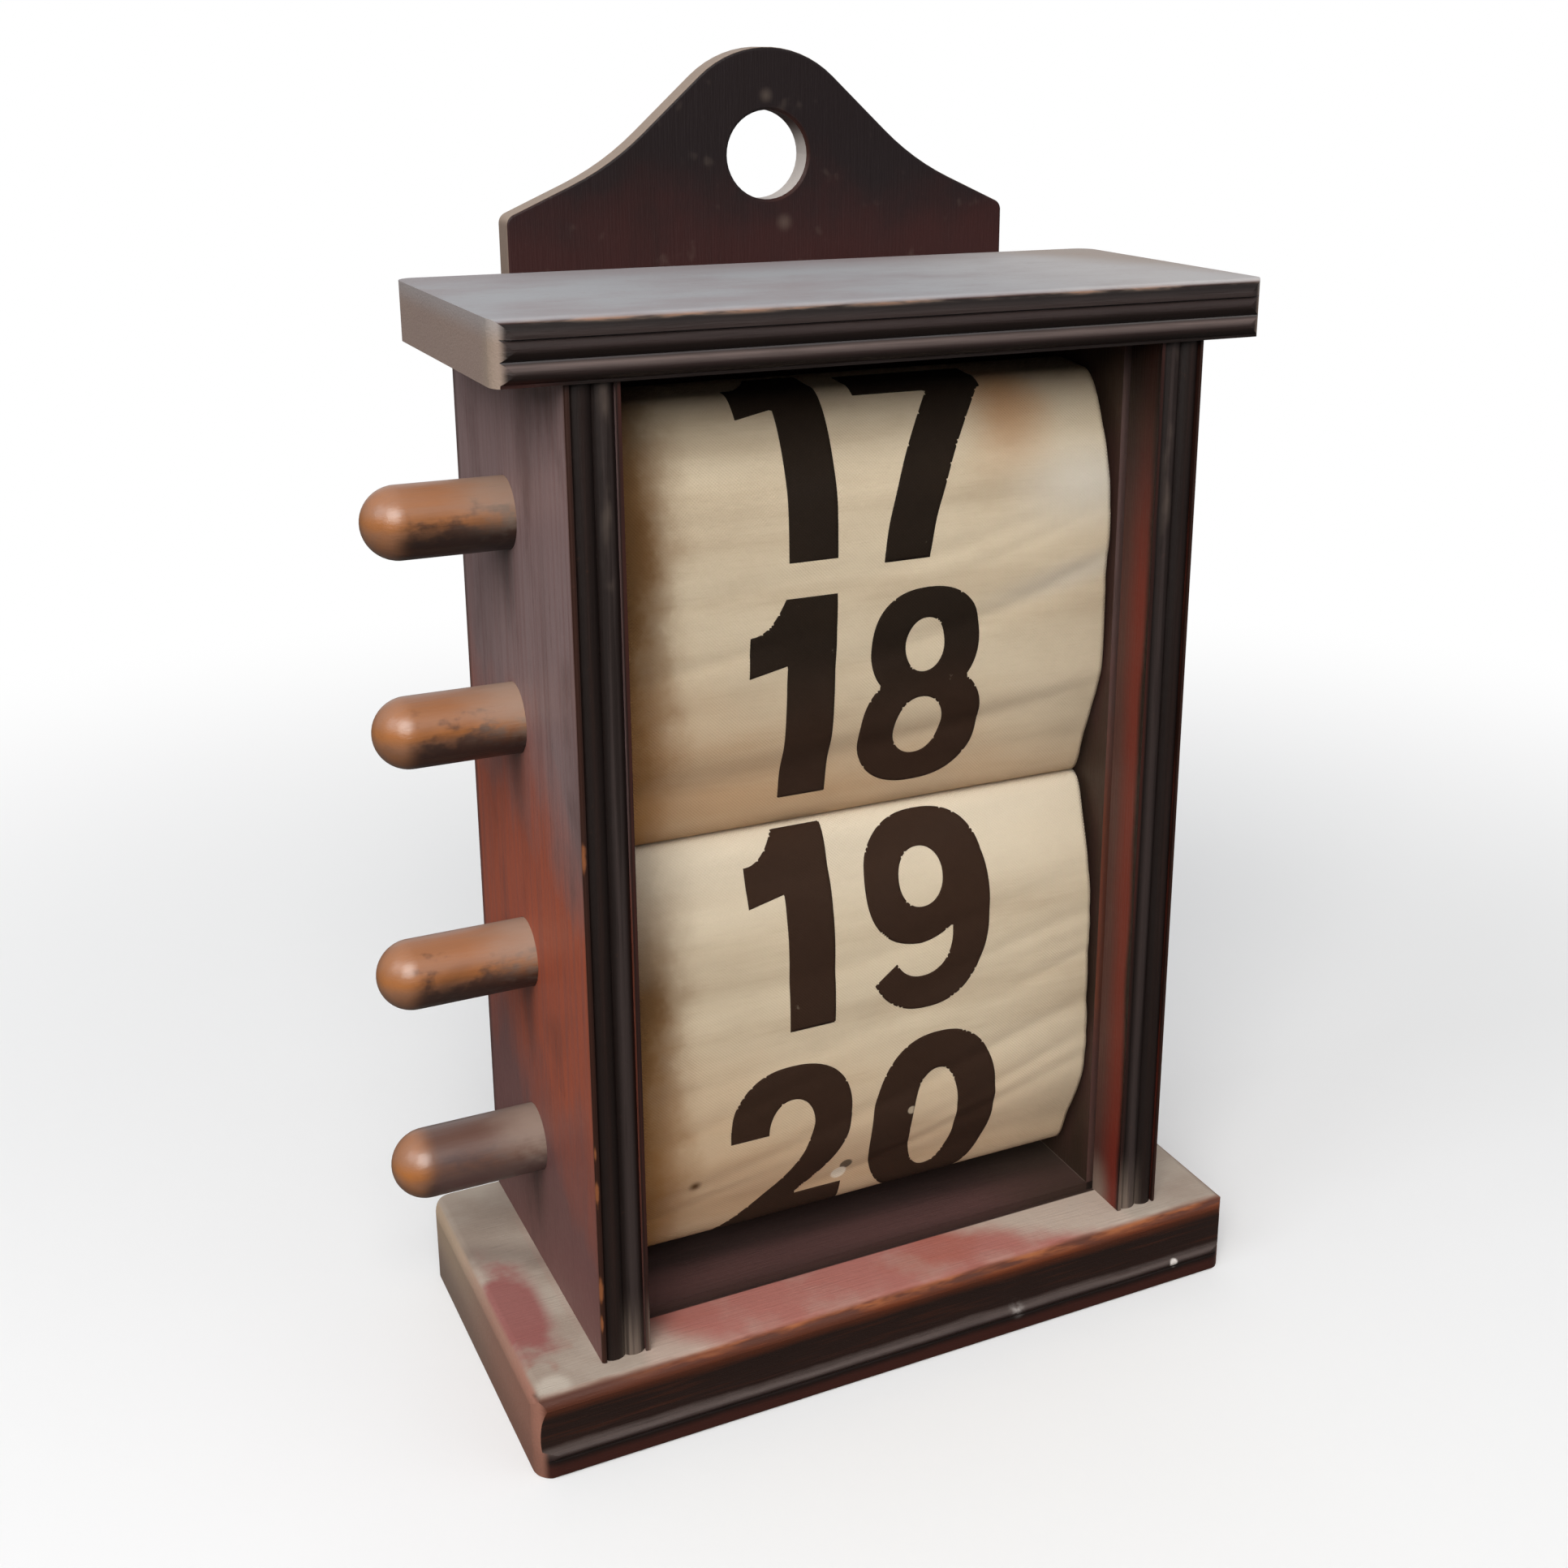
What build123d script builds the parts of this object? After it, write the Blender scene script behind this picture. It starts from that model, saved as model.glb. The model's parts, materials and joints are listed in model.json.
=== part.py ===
from build123d import *

import math
import os

# Perpetual desk calendar: a small glazed wooden case with two bands of printed linen.
# Each band runs from one dowel roller to another and is moved on by hand, with the
# rounded ends of the dowels that stand out of the left side.
#
# Millimetres. X goes across the front, Y from the front to the back, Z up.
# The origin is the centre of the base board's underside.

# Base board
BASE_WIDTH = 146.0
BASE_THICKNESS = 16.0
BASE_CORNER = 4.0            # radius of the base's corners, seen from above
BASE_TOP_ARRIS = 2.3         # worn roundness along the top edge
BASE_FASCIA = 3.4            # height of the flat band along the foot of the front
BASE_BEAD_RADIUS = 0.9
BASE_COVE_INSET = 1.3        # how far the cove starts behind the fascia
BASE_COVE_LIP = 0.5          # how far the cove's upper end stays behind the fascia
BASE_COVE_SINK = 0.45        # depth of the cove below its own chord

# Cap board
CAP_WIDTH = 140.4
CAP_THICKNESS = 10.3
CAP_CORNER = 3.5
CAP_FRONT_OVERHANG = 2.2
CAP_TOP_ARRIS = 2.4
CAP_REED_HEIGHT = 3.4
CAP_QUIRK = 0.9              # depth of the grooves beside the cap's reeds

# Case
CASE_WIDTH = 117.8
CASE_FRONT_SETBACK = 5.8     # from the front of the base to the front of the case
SIDE_THICKNESS = 9.0
STILE_REEDS = 2
STILE_QUIRK = 0.9            # depth of the grooves beside the side panels' reeds
STILE_FILLET = 0.8           # flat strip left at each side of the reeds
EDGE_ARRIS = 0.5             # roundness of the plain edges

# Back board and its hanger, with heights above the cap's top
BACK_THICKNESS = 5.5
BACK_RECESS = 2.5            # from the rear of the side panels to the back board
SHOULDER_HEIGHT = 9.5
SHOULDER_ARRIS = 2.0
HANGER_HEIGHT = 38.5
HANGER_CROWN_RADIUS = 20.0   # convex curve over the top
HANGER_WAIST_RADIUS = 52.0   # hollow curve at each side
HANGER_FLANK_ANGLE = 41.5    # slope of the flank between the two curves
HANGER_WAIST_OUT = 30.4      # where flank and shoulder slope would meet, from the middle
HANGER_WAIST_HEIGHT = 18.1
HOLE_RADIUS = 8.0
HOLE_HEIGHT = 19.4

# Glass pane
GLASS_THICKNESS = 2.0
GLASS_SETBACK = 9.5          # from the front of the case to the front of the glass
GLASS_GROOVE = 1.8           # depth of the groove round the pane
GLASS_PLAY = 0.15            # play on every side of the pane

# Rollers: a plain dowel each, with the rounded end outside as its knob
DOWEL_RADIUS = 6.35
RUNNING_CLEARANCE = 0.05
END_BORE_DEPTH = 5.3         # depth of the blind bores in the right side panel
END_PLAY = 0.3               # play along the roller
PIN_RADIUS = 1.0             # pin through the dowel just inside the left side panel
PIN_BEVEL = 0.3
PIN_LENGTH = 19.0
KNOB_REACH = {               # from the left side to each knob's tip
    "upper_top_roller": 24.7,
    "upper_bottom_roller": 25.2,
    "lower_top_roller": 27.5,
    "lower_bottom_roller": 27.3,
}

# Stored turns of a band on its dowel, and the room that the case gives them
WINDING_RADIUS = 17.6
WINDING_CLEARANCE = 0.3      # between the stored turns and the loose outer turn
WINDING_TO_BASE = 9.4
LOWER_WINDINGS_GAP = 3.1
BANDS_GAP = 10.1             # between the upper band's stored turns and the lower band's
UPPER_WINDINGS_GAP = 1.7
WINDING_TO_CAP = 9.6
WINDING_TO_GLASS = 5.9
WINDING_TO_BACK = 4.4

# Number bands
CLOTH_THICKNESS = 0.5
CLOTH_LEFT_MARGIN = 3.8      # from the left side panel, room for the retaining pins
CLOTH_RIGHT_MARGIN = 1.2
SEAM_GAP = 0.3               # between the two bands where they come closest
TOP_BULGE = 1.8              # how far the upper band's loose turn stands over the stored turns
FOOT_BULGE = 3.5             # how far the lower band's loose turn hangs under them
# The loose outer turn of stiff linen round each roller, from its front (0 degrees) over
# its outer side to its tail behind. It stands off the stored turns by a different slack
# at each angle. The first three slacks differ from roller to roller: the first leaves a
# gap to the glass, the second is given here, and the third makes the bulge.
TURN_ANGLES = (0, 35, 60, 90, 135, 180, 205)
BULGE_PLACE = 2
REAR_SLACKS = (1.5, 0.8, 0.3, 0.15)
CLOTH_TO_GLASS = {
    "upper_top_roller": 0.5,
    "upper_bottom_roller": 2.2,
    "lower_top_roller": 1.3,
    "lower_bottom_roller": 1.9,
}
FLANK_SLACK = {
    "upper_top_roller": 4.6,
    "upper_bottom_roller": 3.6,
    "lower_top_roller": 5.2,
    "lower_bottom_roller": 3.4,
}

# Tacks that hold a band's end on its dowel
TACKS_PER_ROLLER = 4
TACK_HEAD_RADIUS = 1.5
TACK_HEAD_HEIGHT = 0.6
TACK_SHANK_WIDTH = 0.8       # the shanks are square
TACK_LENGTH = 4.0
TACK_PLAY = 0.05

# Fixings of the case
FIXING_PLAY = 0.02           # round every screw, peg and brad
SCREW_HEAD_RADIUS = 3.5
SCREW_HEAD_HEIGHT = 2.4
SCREW_SHANK_RADIUS = 1.6
SCREW_LENGTH = 30.0
SCREW_TIP = 4.8              # length of the screw's point
SCREW_SINK = 0.4             # how far the heads lie above the base's underside
SCREW_SLOT_WIDTH = 0.8
SCREW_SLOT_DEPTH = 0.9
SIDE_SCREW_SPREAD = 15.0     # from the rollers' plane to the screws before and behind it
BACK_SCREW_INSET = 20.0      # from the inside of the side panels
PEG_RADIUS = 2.5
PEG_IN_CAP = 6.0
PEG_IN_SIDE = 10.0
PEG_SPREAD = 12.0            # from the rollers' plane to the pegs before and behind it
BRAD_RADIUS = 0.8
BRAD_HEAD_RADIUS = 1.6
BRAD_HEAD_HEIGHT = 0.8
BRAD_LENGTH = 19.0
BRAD_SINK = 0.3
BRAD_INSET = 15.0            # from the inside of the side panels

# Levels and faces that the pieces share
ROLLER_SETBACK = GLASS_SETBACK + GLASS_THICKNESS + WINDING_TO_GLASS + WINDING_RADIUS
INNER_DEPTH = ROLLER_SETBACK + WINDING_RADIUS + WINDING_TO_BACK
CASE_DEPTH = INNER_DEPTH + BACK_THICKNESS + BACK_RECESS
BASE_DEPTH = CASE_FRONT_SETBACK + CASE_DEPTH
CASE_FRONT = -BASE_DEPTH / 2 + CASE_FRONT_SETBACK
REAR = BASE_DEPTH / 2
BACK_REAR = REAR - BACK_RECESS
BACK_FRONT = BACK_REAR - BACK_THICKNESS
CASE_BOTTOM = BASE_THICKNESS
LOWER_BOTTOM_Z = CASE_BOTTOM + WINDING_TO_BASE + WINDING_RADIUS
LOWER_TOP_Z = LOWER_BOTTOM_Z + 2 * WINDING_RADIUS + LOWER_WINDINGS_GAP
UPPER_BOTTOM_Z = LOWER_TOP_Z + 2 * WINDING_RADIUS + BANDS_GAP
UPPER_TOP_Z = UPPER_BOTTOM_Z + 2 * WINDING_RADIUS + UPPER_WINDINGS_GAP
CASE_TOP = UPPER_TOP_Z + WINDING_RADIUS + WINDING_TO_CAP
CASE_HEIGHT = CASE_TOP - CASE_BOTTOM
CAP_TOP = CASE_TOP + CAP_THICKNESS
CAP_FRONT = CASE_FRONT - CAP_FRONT_OVERHANG
OUTSIDE = CASE_WIDTH / 2
INSIDE = OUTSIDE - SIDE_THICKNESS
MID_SIDE = (OUTSIDE + INSIDE) / 2
GLASS_FRONT = CASE_FRONT + GLASS_SETBACK
GLASS_MIDDLE = GLASS_FRONT + GLASS_THICKNESS / 2
ROLLER_Y = CASE_FRONT + ROLLER_SETBACK
CLOTH_LEFT = -INSIDE + CLOTH_LEFT_MARGIN
CLOTH_RIGHT = INSIDE - CLOTH_RIGHT_MARGIN
PIN_X = -INSIDE + END_PLAY + PIN_RADIUS
AXIS_Z = {
    "upper_top_roller": UPPER_TOP_Z,
    "upper_bottom_roller": UPPER_BOTTOM_Z,
    "lower_top_roller": LOWER_TOP_Z,
    "lower_bottom_roller": LOWER_BOTTOM_Z,
}
SEAM_BULGE = (BANDS_GAP - SEAM_GAP - CLOTH_THICKNESS) / 2
BULGE = {                    # how far the loose turns' middle stands off the stored turns
    "upper_top_roller": TOP_BULGE,
    "upper_bottom_roller": SEAM_BULGE,
    "lower_top_roller": SEAM_BULGE,
    "lower_bottom_roller": FOOT_BULGE,
}

# Where the fixings go
SIDE_SCREW_YS = (ROLLER_Y - SIDE_SCREW_SPREAD, ROLLER_Y + SIDE_SCREW_SPREAD)
BACK_SCREW_XS = (-INSIDE + BACK_SCREW_INSET, INSIDE - BACK_SCREW_INSET)
PEG_YS = (ROLLER_Y - PEG_SPREAD, ROLLER_Y + PEG_SPREAD)
BRAD_XS = (-INSIDE + BRAD_INSET, 0.0, INSIDE - BRAD_INSET)
BRAD_Z = CASE_TOP + CAP_THICKNESS / 2


def quarter_round(start, corner, end):
    """Arc that rounds a square corner, from start to end, in the open line."""
    middle = Vector(*start) + Vector(*end) - Vector(*corner)
    radius = (Vector(*start) - Vector(*corner)).length
    towards = (Vector(*corner) - middle).normalized()
    ThreePointArc(start, middle + towards * radius, end)


def board_from_section(section, width, depth_from, depth_to, corner, arris, bottom, top):
    """A board with the given upright section across X, rounded corners seen from above
    and softened upper edges at its two ends."""
    along = extrude(section, amount=width / 2, both=True)
    depth = depth_to - depth_from
    with BuildSketch(Plane.XY) as plan:
        with Locations((0, (depth_from + depth_to) / 2)):
            Rectangle(width, depth)
        fillet(plan.vertices(), corner)
    with BuildSketch(Plane.XZ) as ends:
        with Locations((0, (bottom + top) / 2)):
            Rectangle(width, top - bottom)
        fillet(ends.vertices().sort_by(Axis.Y)[-2:], arris)
    upright = Pos(0, 0, bottom) * extrude(plan.sketch, amount=top - bottom)
    across = extrude(ends.sketch, amount=2 * max(abs(depth_from), abs(depth_to)), both=True)
    return along & upright & across


def base_section():
    """Upright section of the base board: fascia, bead, cove and worn top edge."""
    front = -BASE_DEPTH / 2
    bead_top = BASE_FASCIA + 2 * BASE_BEAD_RADIUS
    lip = front + BASE_COVE_LIP
    cove_end = BASE_THICKNESS - BASE_TOP_ARRIS
    cove_middle = (
        front + (BASE_COVE_INSET + BASE_COVE_LIP) / 2 + BASE_COVE_SINK,
        (bead_top + cove_end) / 2,
    )
    with BuildSketch(Plane.YZ) as section:
        with BuildLine():
            Polyline((lip + BASE_TOP_ARRIS, BASE_THICKNESS), (REAR, BASE_THICKNESS), (REAR, 0),
                     (front + EDGE_ARRIS, 0))
            quarter_round((front + EDGE_ARRIS, 0), (front, 0), (front, EDGE_ARRIS))
            Polyline((front, EDGE_ARRIS), (front, BASE_FASCIA),
                     (front + BASE_BEAD_RADIUS, BASE_FASCIA))
            ThreePointArc((front + BASE_BEAD_RADIUS, BASE_FASCIA),
                          (front, BASE_FASCIA + BASE_BEAD_RADIUS),
                          (front + BASE_BEAD_RADIUS, bead_top))
            Line((front + BASE_BEAD_RADIUS, bead_top), (front + BASE_COVE_INSET, bead_top))
            ThreePointArc((front + BASE_COVE_INSET, bead_top), cove_middle, (lip, cove_end))
            quarter_round((lip, cove_end), (lip, BASE_THICKNESS),
                          (lip + BASE_TOP_ARRIS, BASE_THICKNESS))
        make_face()
    return section.sketch


def cap_section():
    """Upright section of the cap board: two reeds under a worn top edge."""
    quirk = CAP_FRONT + CAP_QUIRK
    reeds_top = CASE_TOP + EDGE_ARRIS + 2 * CAP_REED_HEIGHT
    arris_start = CAP_TOP - CAP_TOP_ARRIS
    with BuildSketch(Plane.YZ) as section:
        with BuildLine():
            Polyline((CAP_FRONT + CAP_TOP_ARRIS, CAP_TOP), (BACK_FRONT, CAP_TOP),
                     (BACK_FRONT, CASE_TOP), (quirk, CASE_TOP), (quirk, CASE_TOP + EDGE_ARRIS))
            for reed in range(2):
                low = CASE_TOP + EDGE_ARRIS + reed * CAP_REED_HEIGHT
                ThreePointArc((quirk, low), (CAP_FRONT, low + CAP_REED_HEIGHT / 2),
                              (quirk, low + CAP_REED_HEIGHT))
            Polyline((quirk, reeds_top), (CAP_FRONT, reeds_top), (CAP_FRONT, arris_start))
            quarter_round((CAP_FRONT, arris_start), (CAP_FRONT, CAP_TOP),
                          (CAP_FRONT + CAP_TOP_ARRIS, CAP_TOP))
        make_face()
    return section.sketch


def side_plan():
    """Plan of the left side panel, with sunk reeds along its front edge."""
    quirk = CASE_FRONT + STILE_QUIRK
    reeds_right = -INSIDE - STILE_FILLET
    reeds_left = -OUTSIDE + STILE_FILLET
    reed_width = (reeds_right - reeds_left) / STILE_REEDS
    with BuildSketch(Plane.XY) as plan:
        with BuildLine():
            Polyline((-OUTSIDE, REAR), (-INSIDE, REAR), (-INSIDE, CASE_FRONT),
                     (reeds_right, CASE_FRONT), (reeds_right, quirk))
            for reed in range(STILE_REEDS):
                start = reeds_right - reed * reed_width
                ThreePointArc((start, quirk), (start - reed_width / 2, CASE_FRONT),
                              (start - reed_width, quirk))
            Polyline((reeds_left, quirk), (reeds_left, CASE_FRONT),
                     (-OUTSIDE + EDGE_ARRIS, CASE_FRONT))
            quarter_round((-OUTSIDE + EDGE_ARRIS, CASE_FRONT), (-OUTSIDE, CASE_FRONT),
                          (-OUTSIDE, CASE_FRONT + EDGE_ARRIS))
            Line((-OUTSIDE, CASE_FRONT + EDGE_ARRIS), (-OUTSIDE, REAR))
        make_face()
    return plan.sketch


def back_outline():
    """Outline of the back board: straight sides, sloping shoulders and ogee hanger."""
    crown = CAP_TOP + HANGER_HEIGHT - HANGER_CROWN_RADIUS
    peak = crown + HANGER_CROWN_RADIUS / math.cos(math.radians(HANGER_FLANK_ANGLE))
    shoulder = (INSIDE, CAP_TOP + SHOULDER_HEIGHT)
    waist = (HANGER_WAIST_OUT, CAP_TOP + HANGER_WAIST_HEIGHT)
    right_half = [(INSIDE, CASE_BOTTOM), shoulder, waist]
    left_half = [(-x, z) for x, z in reversed(right_half)]
    with BuildSketch(Plane.XZ) as outline:
        Polygon(*right_half, (0, peak), *left_half, align=None)
        by_height = outline.vertices().sort_by(Axis.Y)
        fillet(by_height[-1], HANGER_CROWN_RADIUS)
        fillet(outline.vertices().filter_by_position(Axis.Y, waist[1] - 0.1, waist[1] + 0.1),
               HANGER_WAIST_RADIUS)
        fillet(outline.vertices().filter_by_position(Axis.Y, shoulder[1] - 0.1, shoulder[1] + 0.1),
               SHOULDER_ARRIS)
    return outline.sketch


def glass_block(play):
    """The pane's own volume, grown by the given play on every side."""
    width = 2 * (INSIDE + GLASS_GROOVE - GLASS_PLAY + play)
    height = CASE_HEIGHT + 2 * (GLASS_GROOVE - GLASS_PLAY + play)
    middle = (CASE_BOTTOM + CASE_TOP) / 2
    return Pos(0, GLASS_MIDDLE, middle) * Box(width, GLASS_THICKNESS + 2 * play, height)


def rod(x_from, x_to, radius, axis_z):
    """Round rod along X at a roller's axis."""
    centre = Pos((x_from + x_to) / 2, ROLLER_Y, axis_z)
    return centre * Rot(0, 90, 0) * Cylinder(radius, x_to - x_from)


def screw(play=0.0):
    """Countersunk wood screw that points up, its head's face at Z = 0, or its hole."""
    head = SCREW_HEAD_RADIUS + play
    shank = SCREW_SHANK_RADIUS + play
    with BuildSketch(Plane.XZ) as profile:
        Polygon((0, 0), (head, 0), (shank, SCREW_HEAD_HEIGHT),
                (shank, SCREW_LENGTH - SCREW_TIP + play),
                (0, SCREW_LENGTH + play), align=None)
    return revolve(profile.sketch, Axis.Z)


def slotted_screw():
    """The screw itself, with the slot across its head."""
    slot = Box(2 * SCREW_HEAD_RADIUS, SCREW_SLOT_WIDTH, 2 * SCREW_SLOT_DEPTH)
    return screw() - slot


def screw_places():
    """Head positions of the screws under the base board."""
    under_sides = [Pos(side * MID_SIDE, y, SCREW_SINK) for side in (-1, 1) for y in SIDE_SCREW_YS]
    under_back = [Pos(x, (BACK_FRONT + BACK_REAR) / 2, SCREW_SINK) for x in BACK_SCREW_XS]
    return under_sides + under_back


def pegs(play=0.0):
    """Round pegs between the cap and the side panels, or their holes."""
    length = PEG_IN_CAP + PEG_IN_SIDE + 2 * play
    middle = CASE_TOP + (PEG_IN_CAP - PEG_IN_SIDE) / 2
    return [Pos(side * MID_SIDE, y, middle) * Cylinder(PEG_RADIUS + play, length)
            for side in (-1, 1) for y in PEG_YS]


def brads(play=0.0):
    """Brads through the back board into the cap's rear edge, or their holes."""
    head = Pos(0, 0, -BRAD_HEAD_HEIGHT / 2) * Cylinder(BRAD_HEAD_RADIUS + play, BRAD_HEAD_HEIGHT)
    shank = Pos(0, 0, -(BRAD_LENGTH + play) / 2) * Cylinder(BRAD_RADIUS + play, BRAD_LENGTH + play)
    brad = Rot(-90, 0, 0) * (head + shank)
    return [Pos(x, BACK_REAR - BRAD_SINK, BRAD_Z) * brad for x in BRAD_XS]


def screw_holes():
    """Holes for the base screws, open at the base board's underside."""
    mouth = Pos(0, 0, -SCREW_SINK / 2) * Cylinder(SCREW_HEAD_RADIUS + FIXING_PLAY, SCREW_SINK)
    return [place * (screw(FIXING_PLAY) + mouth) for place in screw_places()]


def brad_holes():
    """Holes for the brads, open at the back board's rear face."""
    mouths = [Pos(x, BACK_REAR - BRAD_SINK / 2, BRAD_Z) * Rot(90, 0, 0)
              * Cylinder(BRAD_HEAD_RADIUS + FIXING_PLAY, BRAD_SINK) for x in BRAD_XS]
    return brads(FIXING_PLAY) + mouths


def tacks(axis_z, play=0.0):
    """Tacks along the rear of one dowel, driven towards its axis, or their room."""
    spacing = (CLOTH_RIGHT - CLOTH_LEFT) / TACKS_PER_ROLLER
    head = Pos(0, 0, TACK_HEAD_HEIGHT / 2) * Cylinder(TACK_HEAD_RADIUS + play,
                                                      TACK_HEAD_HEIGHT + 2 * play)
    shank = Pos(0, 0, -TACK_LENGTH / 2) * Box(TACK_SHANK_WIDTH + 2 * play,
                                              TACK_SHANK_WIDTH + 2 * play,
                                              TACK_LENGTH + 2 * play)
    tack = Rot(-90, 0, 0) * (head + shank)
    return [Pos(CLOTH_LEFT + (place + 0.5) * spacing, ROLLER_Y + DOWEL_RADIUS, axis_z) * tack
            for place in range(TACKS_PER_ROLLER)]


def roller_parts(name):
    """Dowel, retaining pin, tacks and stored turns of one roller."""
    axis_z = AXIS_Z[name]
    tip = -OUTSIDE - KNOB_REACH[name]
    right_end = INSIDE + END_BORE_DEPTH - END_PLAY
    dowel = rod(tip + DOWEL_RADIUS, right_end, DOWEL_RADIUS, axis_z)
    dowel += Pos(tip + DOWEL_RADIUS, ROLLER_Y, axis_z) * Sphere(DOWEL_RADIUS)
    pin_hole = Pos(PIN_X, ROLLER_Y, axis_z) * Cylinder(PIN_RADIUS + FIXING_PLAY, PIN_LENGTH)
    dowel -= pin_hole
    dowel -= tacks(axis_z, TACK_PLAY)
    pin = Pos(PIN_X, ROLLER_Y, axis_z) * Cylinder(PIN_RADIUS, PIN_LENGTH)
    pin = chamfer(pin.edges().filter_by(GeomType.CIRCLE), PIN_BEVEL)
    winding = rod(CLOTH_LEFT, CLOTH_RIGHT, WINDING_RADIUS, axis_z)
    winding -= rod(CLOTH_LEFT, CLOTH_RIGHT, DOWEL_RADIUS + RUNNING_CLEARANCE, axis_z)
    winding -= tacks(axis_z, TACK_PLAY)
    return {
        f"{name}_dowel": dowel,
        f"{name}_pin": pin,
        f"{name}_tacks": Compound(children=tacks(axis_z)),
        f"{name}_winding": winding,
    }


def loose_turn(name, side):
    """Points along the middle of a band's loose outer turn round one roller, from its
    front to its tail, in the YZ plane. side is 1 over the roller and -1 under it."""
    snug = WINDING_RADIUS + WINDING_CLEARANCE + CLOTH_THICKNESS / 2
    front = WINDING_RADIUS + WINDING_TO_GLASS - CLOTH_TO_GLASS[name] - CLOTH_THICKNESS / 2
    bulge = (WINDING_RADIUS + BULGE[name]) / math.sin(math.radians(TURN_ANGLES[BULGE_PLACE]))
    radii = [front, snug + FLANK_SLACK[name], bulge] + [snug + slack for slack in REAR_SLACKS]
    points = []
    for degrees, radius in zip(TURN_ANGLES, radii):
        angle = math.radians(degrees)
        points.append(Vector(ROLLER_Y - radius * math.cos(angle),
                             AXIS_Z[name] + side * radius * math.sin(angle)))
    return points


def two_arcs(start, leaving, end, arriving):
    """Two arcs that meet smoothly, leave start in one given way and reach end in another."""
    chord = end - start
    turn = 2 * (1 - leaving.dot(arriving))
    along = chord.dot(leaving + arriving)
    if turn < 1e-9:
        reach = chord.dot(chord) / (2 * along)
    else:
        reach = (math.sqrt(along ** 2 + turn * chord.dot(chord)) - along) / turn
    meeting = (start + end + (leaving - arriving) * reach) * 0.5
    TangentArc(start, meeting, tangent=leaving)
    TangentArc(end, meeting, tangent=arriving * -1)


def number_band(upper, lower):
    """The visible stretch of a band: over the upper roller, down the face behind the
    glass and under the lower roller, as one sheet of even thickness."""
    points = list(reversed(loose_turn(upper, 1))) + loose_turn(lower, -1)
    before = points[:1] + points[:-1]
    after = points[1:] + points[-1:]
    ways = [(ahead - behind).normalized() for behind, ahead in zip(before, after)]
    ways[len(TURN_ANGLES) - 1 - BULGE_PLACE] = Vector(-1, 0)
    ways[len(TURN_ANGLES) + BULGE_PLACE] = Vector(1, 0)
    with BuildLine() as middle:
        for place in range(len(points) - 1):
            two_arcs(points[place], ways[place], points[place + 1], ways[place + 1])
    outline = offset(middle.wires()[0], CLOTH_THICKNESS / 2, side=Side.BOTH)
    section = Plane.YZ.offset(CLOTH_LEFT) * make_face(outline.edges())
    return extrude(section, amount=CLOTH_RIGHT - CLOTH_LEFT)


def base_board():
    board = board_from_section(base_section(), BASE_WIDTH, -BASE_DEPTH / 2, REAR, BASE_CORNER,
                               BASE_TOP_ARRIS, 0, BASE_THICKNESS)
    return board - glass_block(GLASS_PLAY) - screw_holes()


def cap_board():
    board = board_from_section(cap_section(), CAP_WIDTH, CAP_FRONT, BACK_FRONT, CAP_CORNER,
                               CAP_TOP_ARRIS, CASE_TOP, CAP_TOP)
    return board - glass_block(GLASS_PLAY) - pegs(FIXING_PLAY) - brads(FIXING_PLAY)


def side_panels():
    """Left panel with through bores, right panel with blind ones."""
    plain = Pos(0, 0, CASE_BOTTOM) * extrude(side_plan(), amount=CASE_HEIGHT)
    fixings = glass_block(GLASS_PLAY)
    left = plain - fixings - screw_holes() - pegs(FIXING_PLAY)
    right = mirror(plain, Plane.YZ) - fixings - screw_holes() - pegs(FIXING_PLAY)
    bore = DOWEL_RADIUS + RUNNING_CLEARANCE
    for axis_z in AXIS_Z.values():
        left -= rod(-OUTSIDE, -INSIDE, bore, axis_z)
        right -= rod(INSIDE, INSIDE + END_BORE_DEPTH, bore, axis_z)
    return left, right


def back_board():
    board = Pos(0, BACK_REAR, 0) * extrude(back_outline(), amount=BACK_THICKNESS)
    hole = Pos(0, (BACK_FRONT + BACK_REAR) / 2, CAP_TOP + HOLE_HEIGHT) * Rot(90, 0, 0)
    front_edges = board.faces().sort_by(Axis.Y)[0].edges()
    rear_edges = board.faces().sort_by(Axis.Y)[-1].edges()
    hanger_edges = [edge for edge in front_edges + rear_edges
                    if edge.bounding_box().min.Z > CAP_TOP + EDGE_ARRIS]
    board = fillet(hanger_edges, EDGE_ARRIS)
    board -= hole * Cylinder(HOLE_RADIUS, BACK_THICKNESS)
    hole_rims = [edge for edge in board.edges().filter_by(GeomType.CIRCLE)
                 if edge.is_closed and edge.arc_center.Z > CAP_TOP]
    board = chamfer(hole_rims, EDGE_ARRIS)
    return board - screw_holes() - brad_holes()


def main():
    left_side, right_side = side_panels()
    nodes = {
        "base_board": base_board(),
        "cap_board": cap_board(),
        "left_side_panel": left_side,
        "right_side_panel": right_side,
        "back_board": back_board(),
        "glass_pane": glass_block(0.0),
        "upper_number_band": number_band("upper_top_roller", "upper_bottom_roller"),
        "lower_number_band": number_band("lower_top_roller", "lower_bottom_roller"),
        "cap_pegs": Compound(children=pegs()),
        "base_screws": Compound(children=[place * slotted_screw() for place in screw_places()]),
        "back_brads": Compound(children=brads()),
    }
    for name in AXIS_Z:
        nodes.update(roller_parts(name))
    os.makedirs("parts", exist_ok=True)
    for name, shape in nodes.items():
        export_step(shape, f"parts/{name}.step")


main()
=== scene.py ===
import functools
import json
import math

import bpy
import numpy as np
from mathutils import Matrix, Vector


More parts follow.
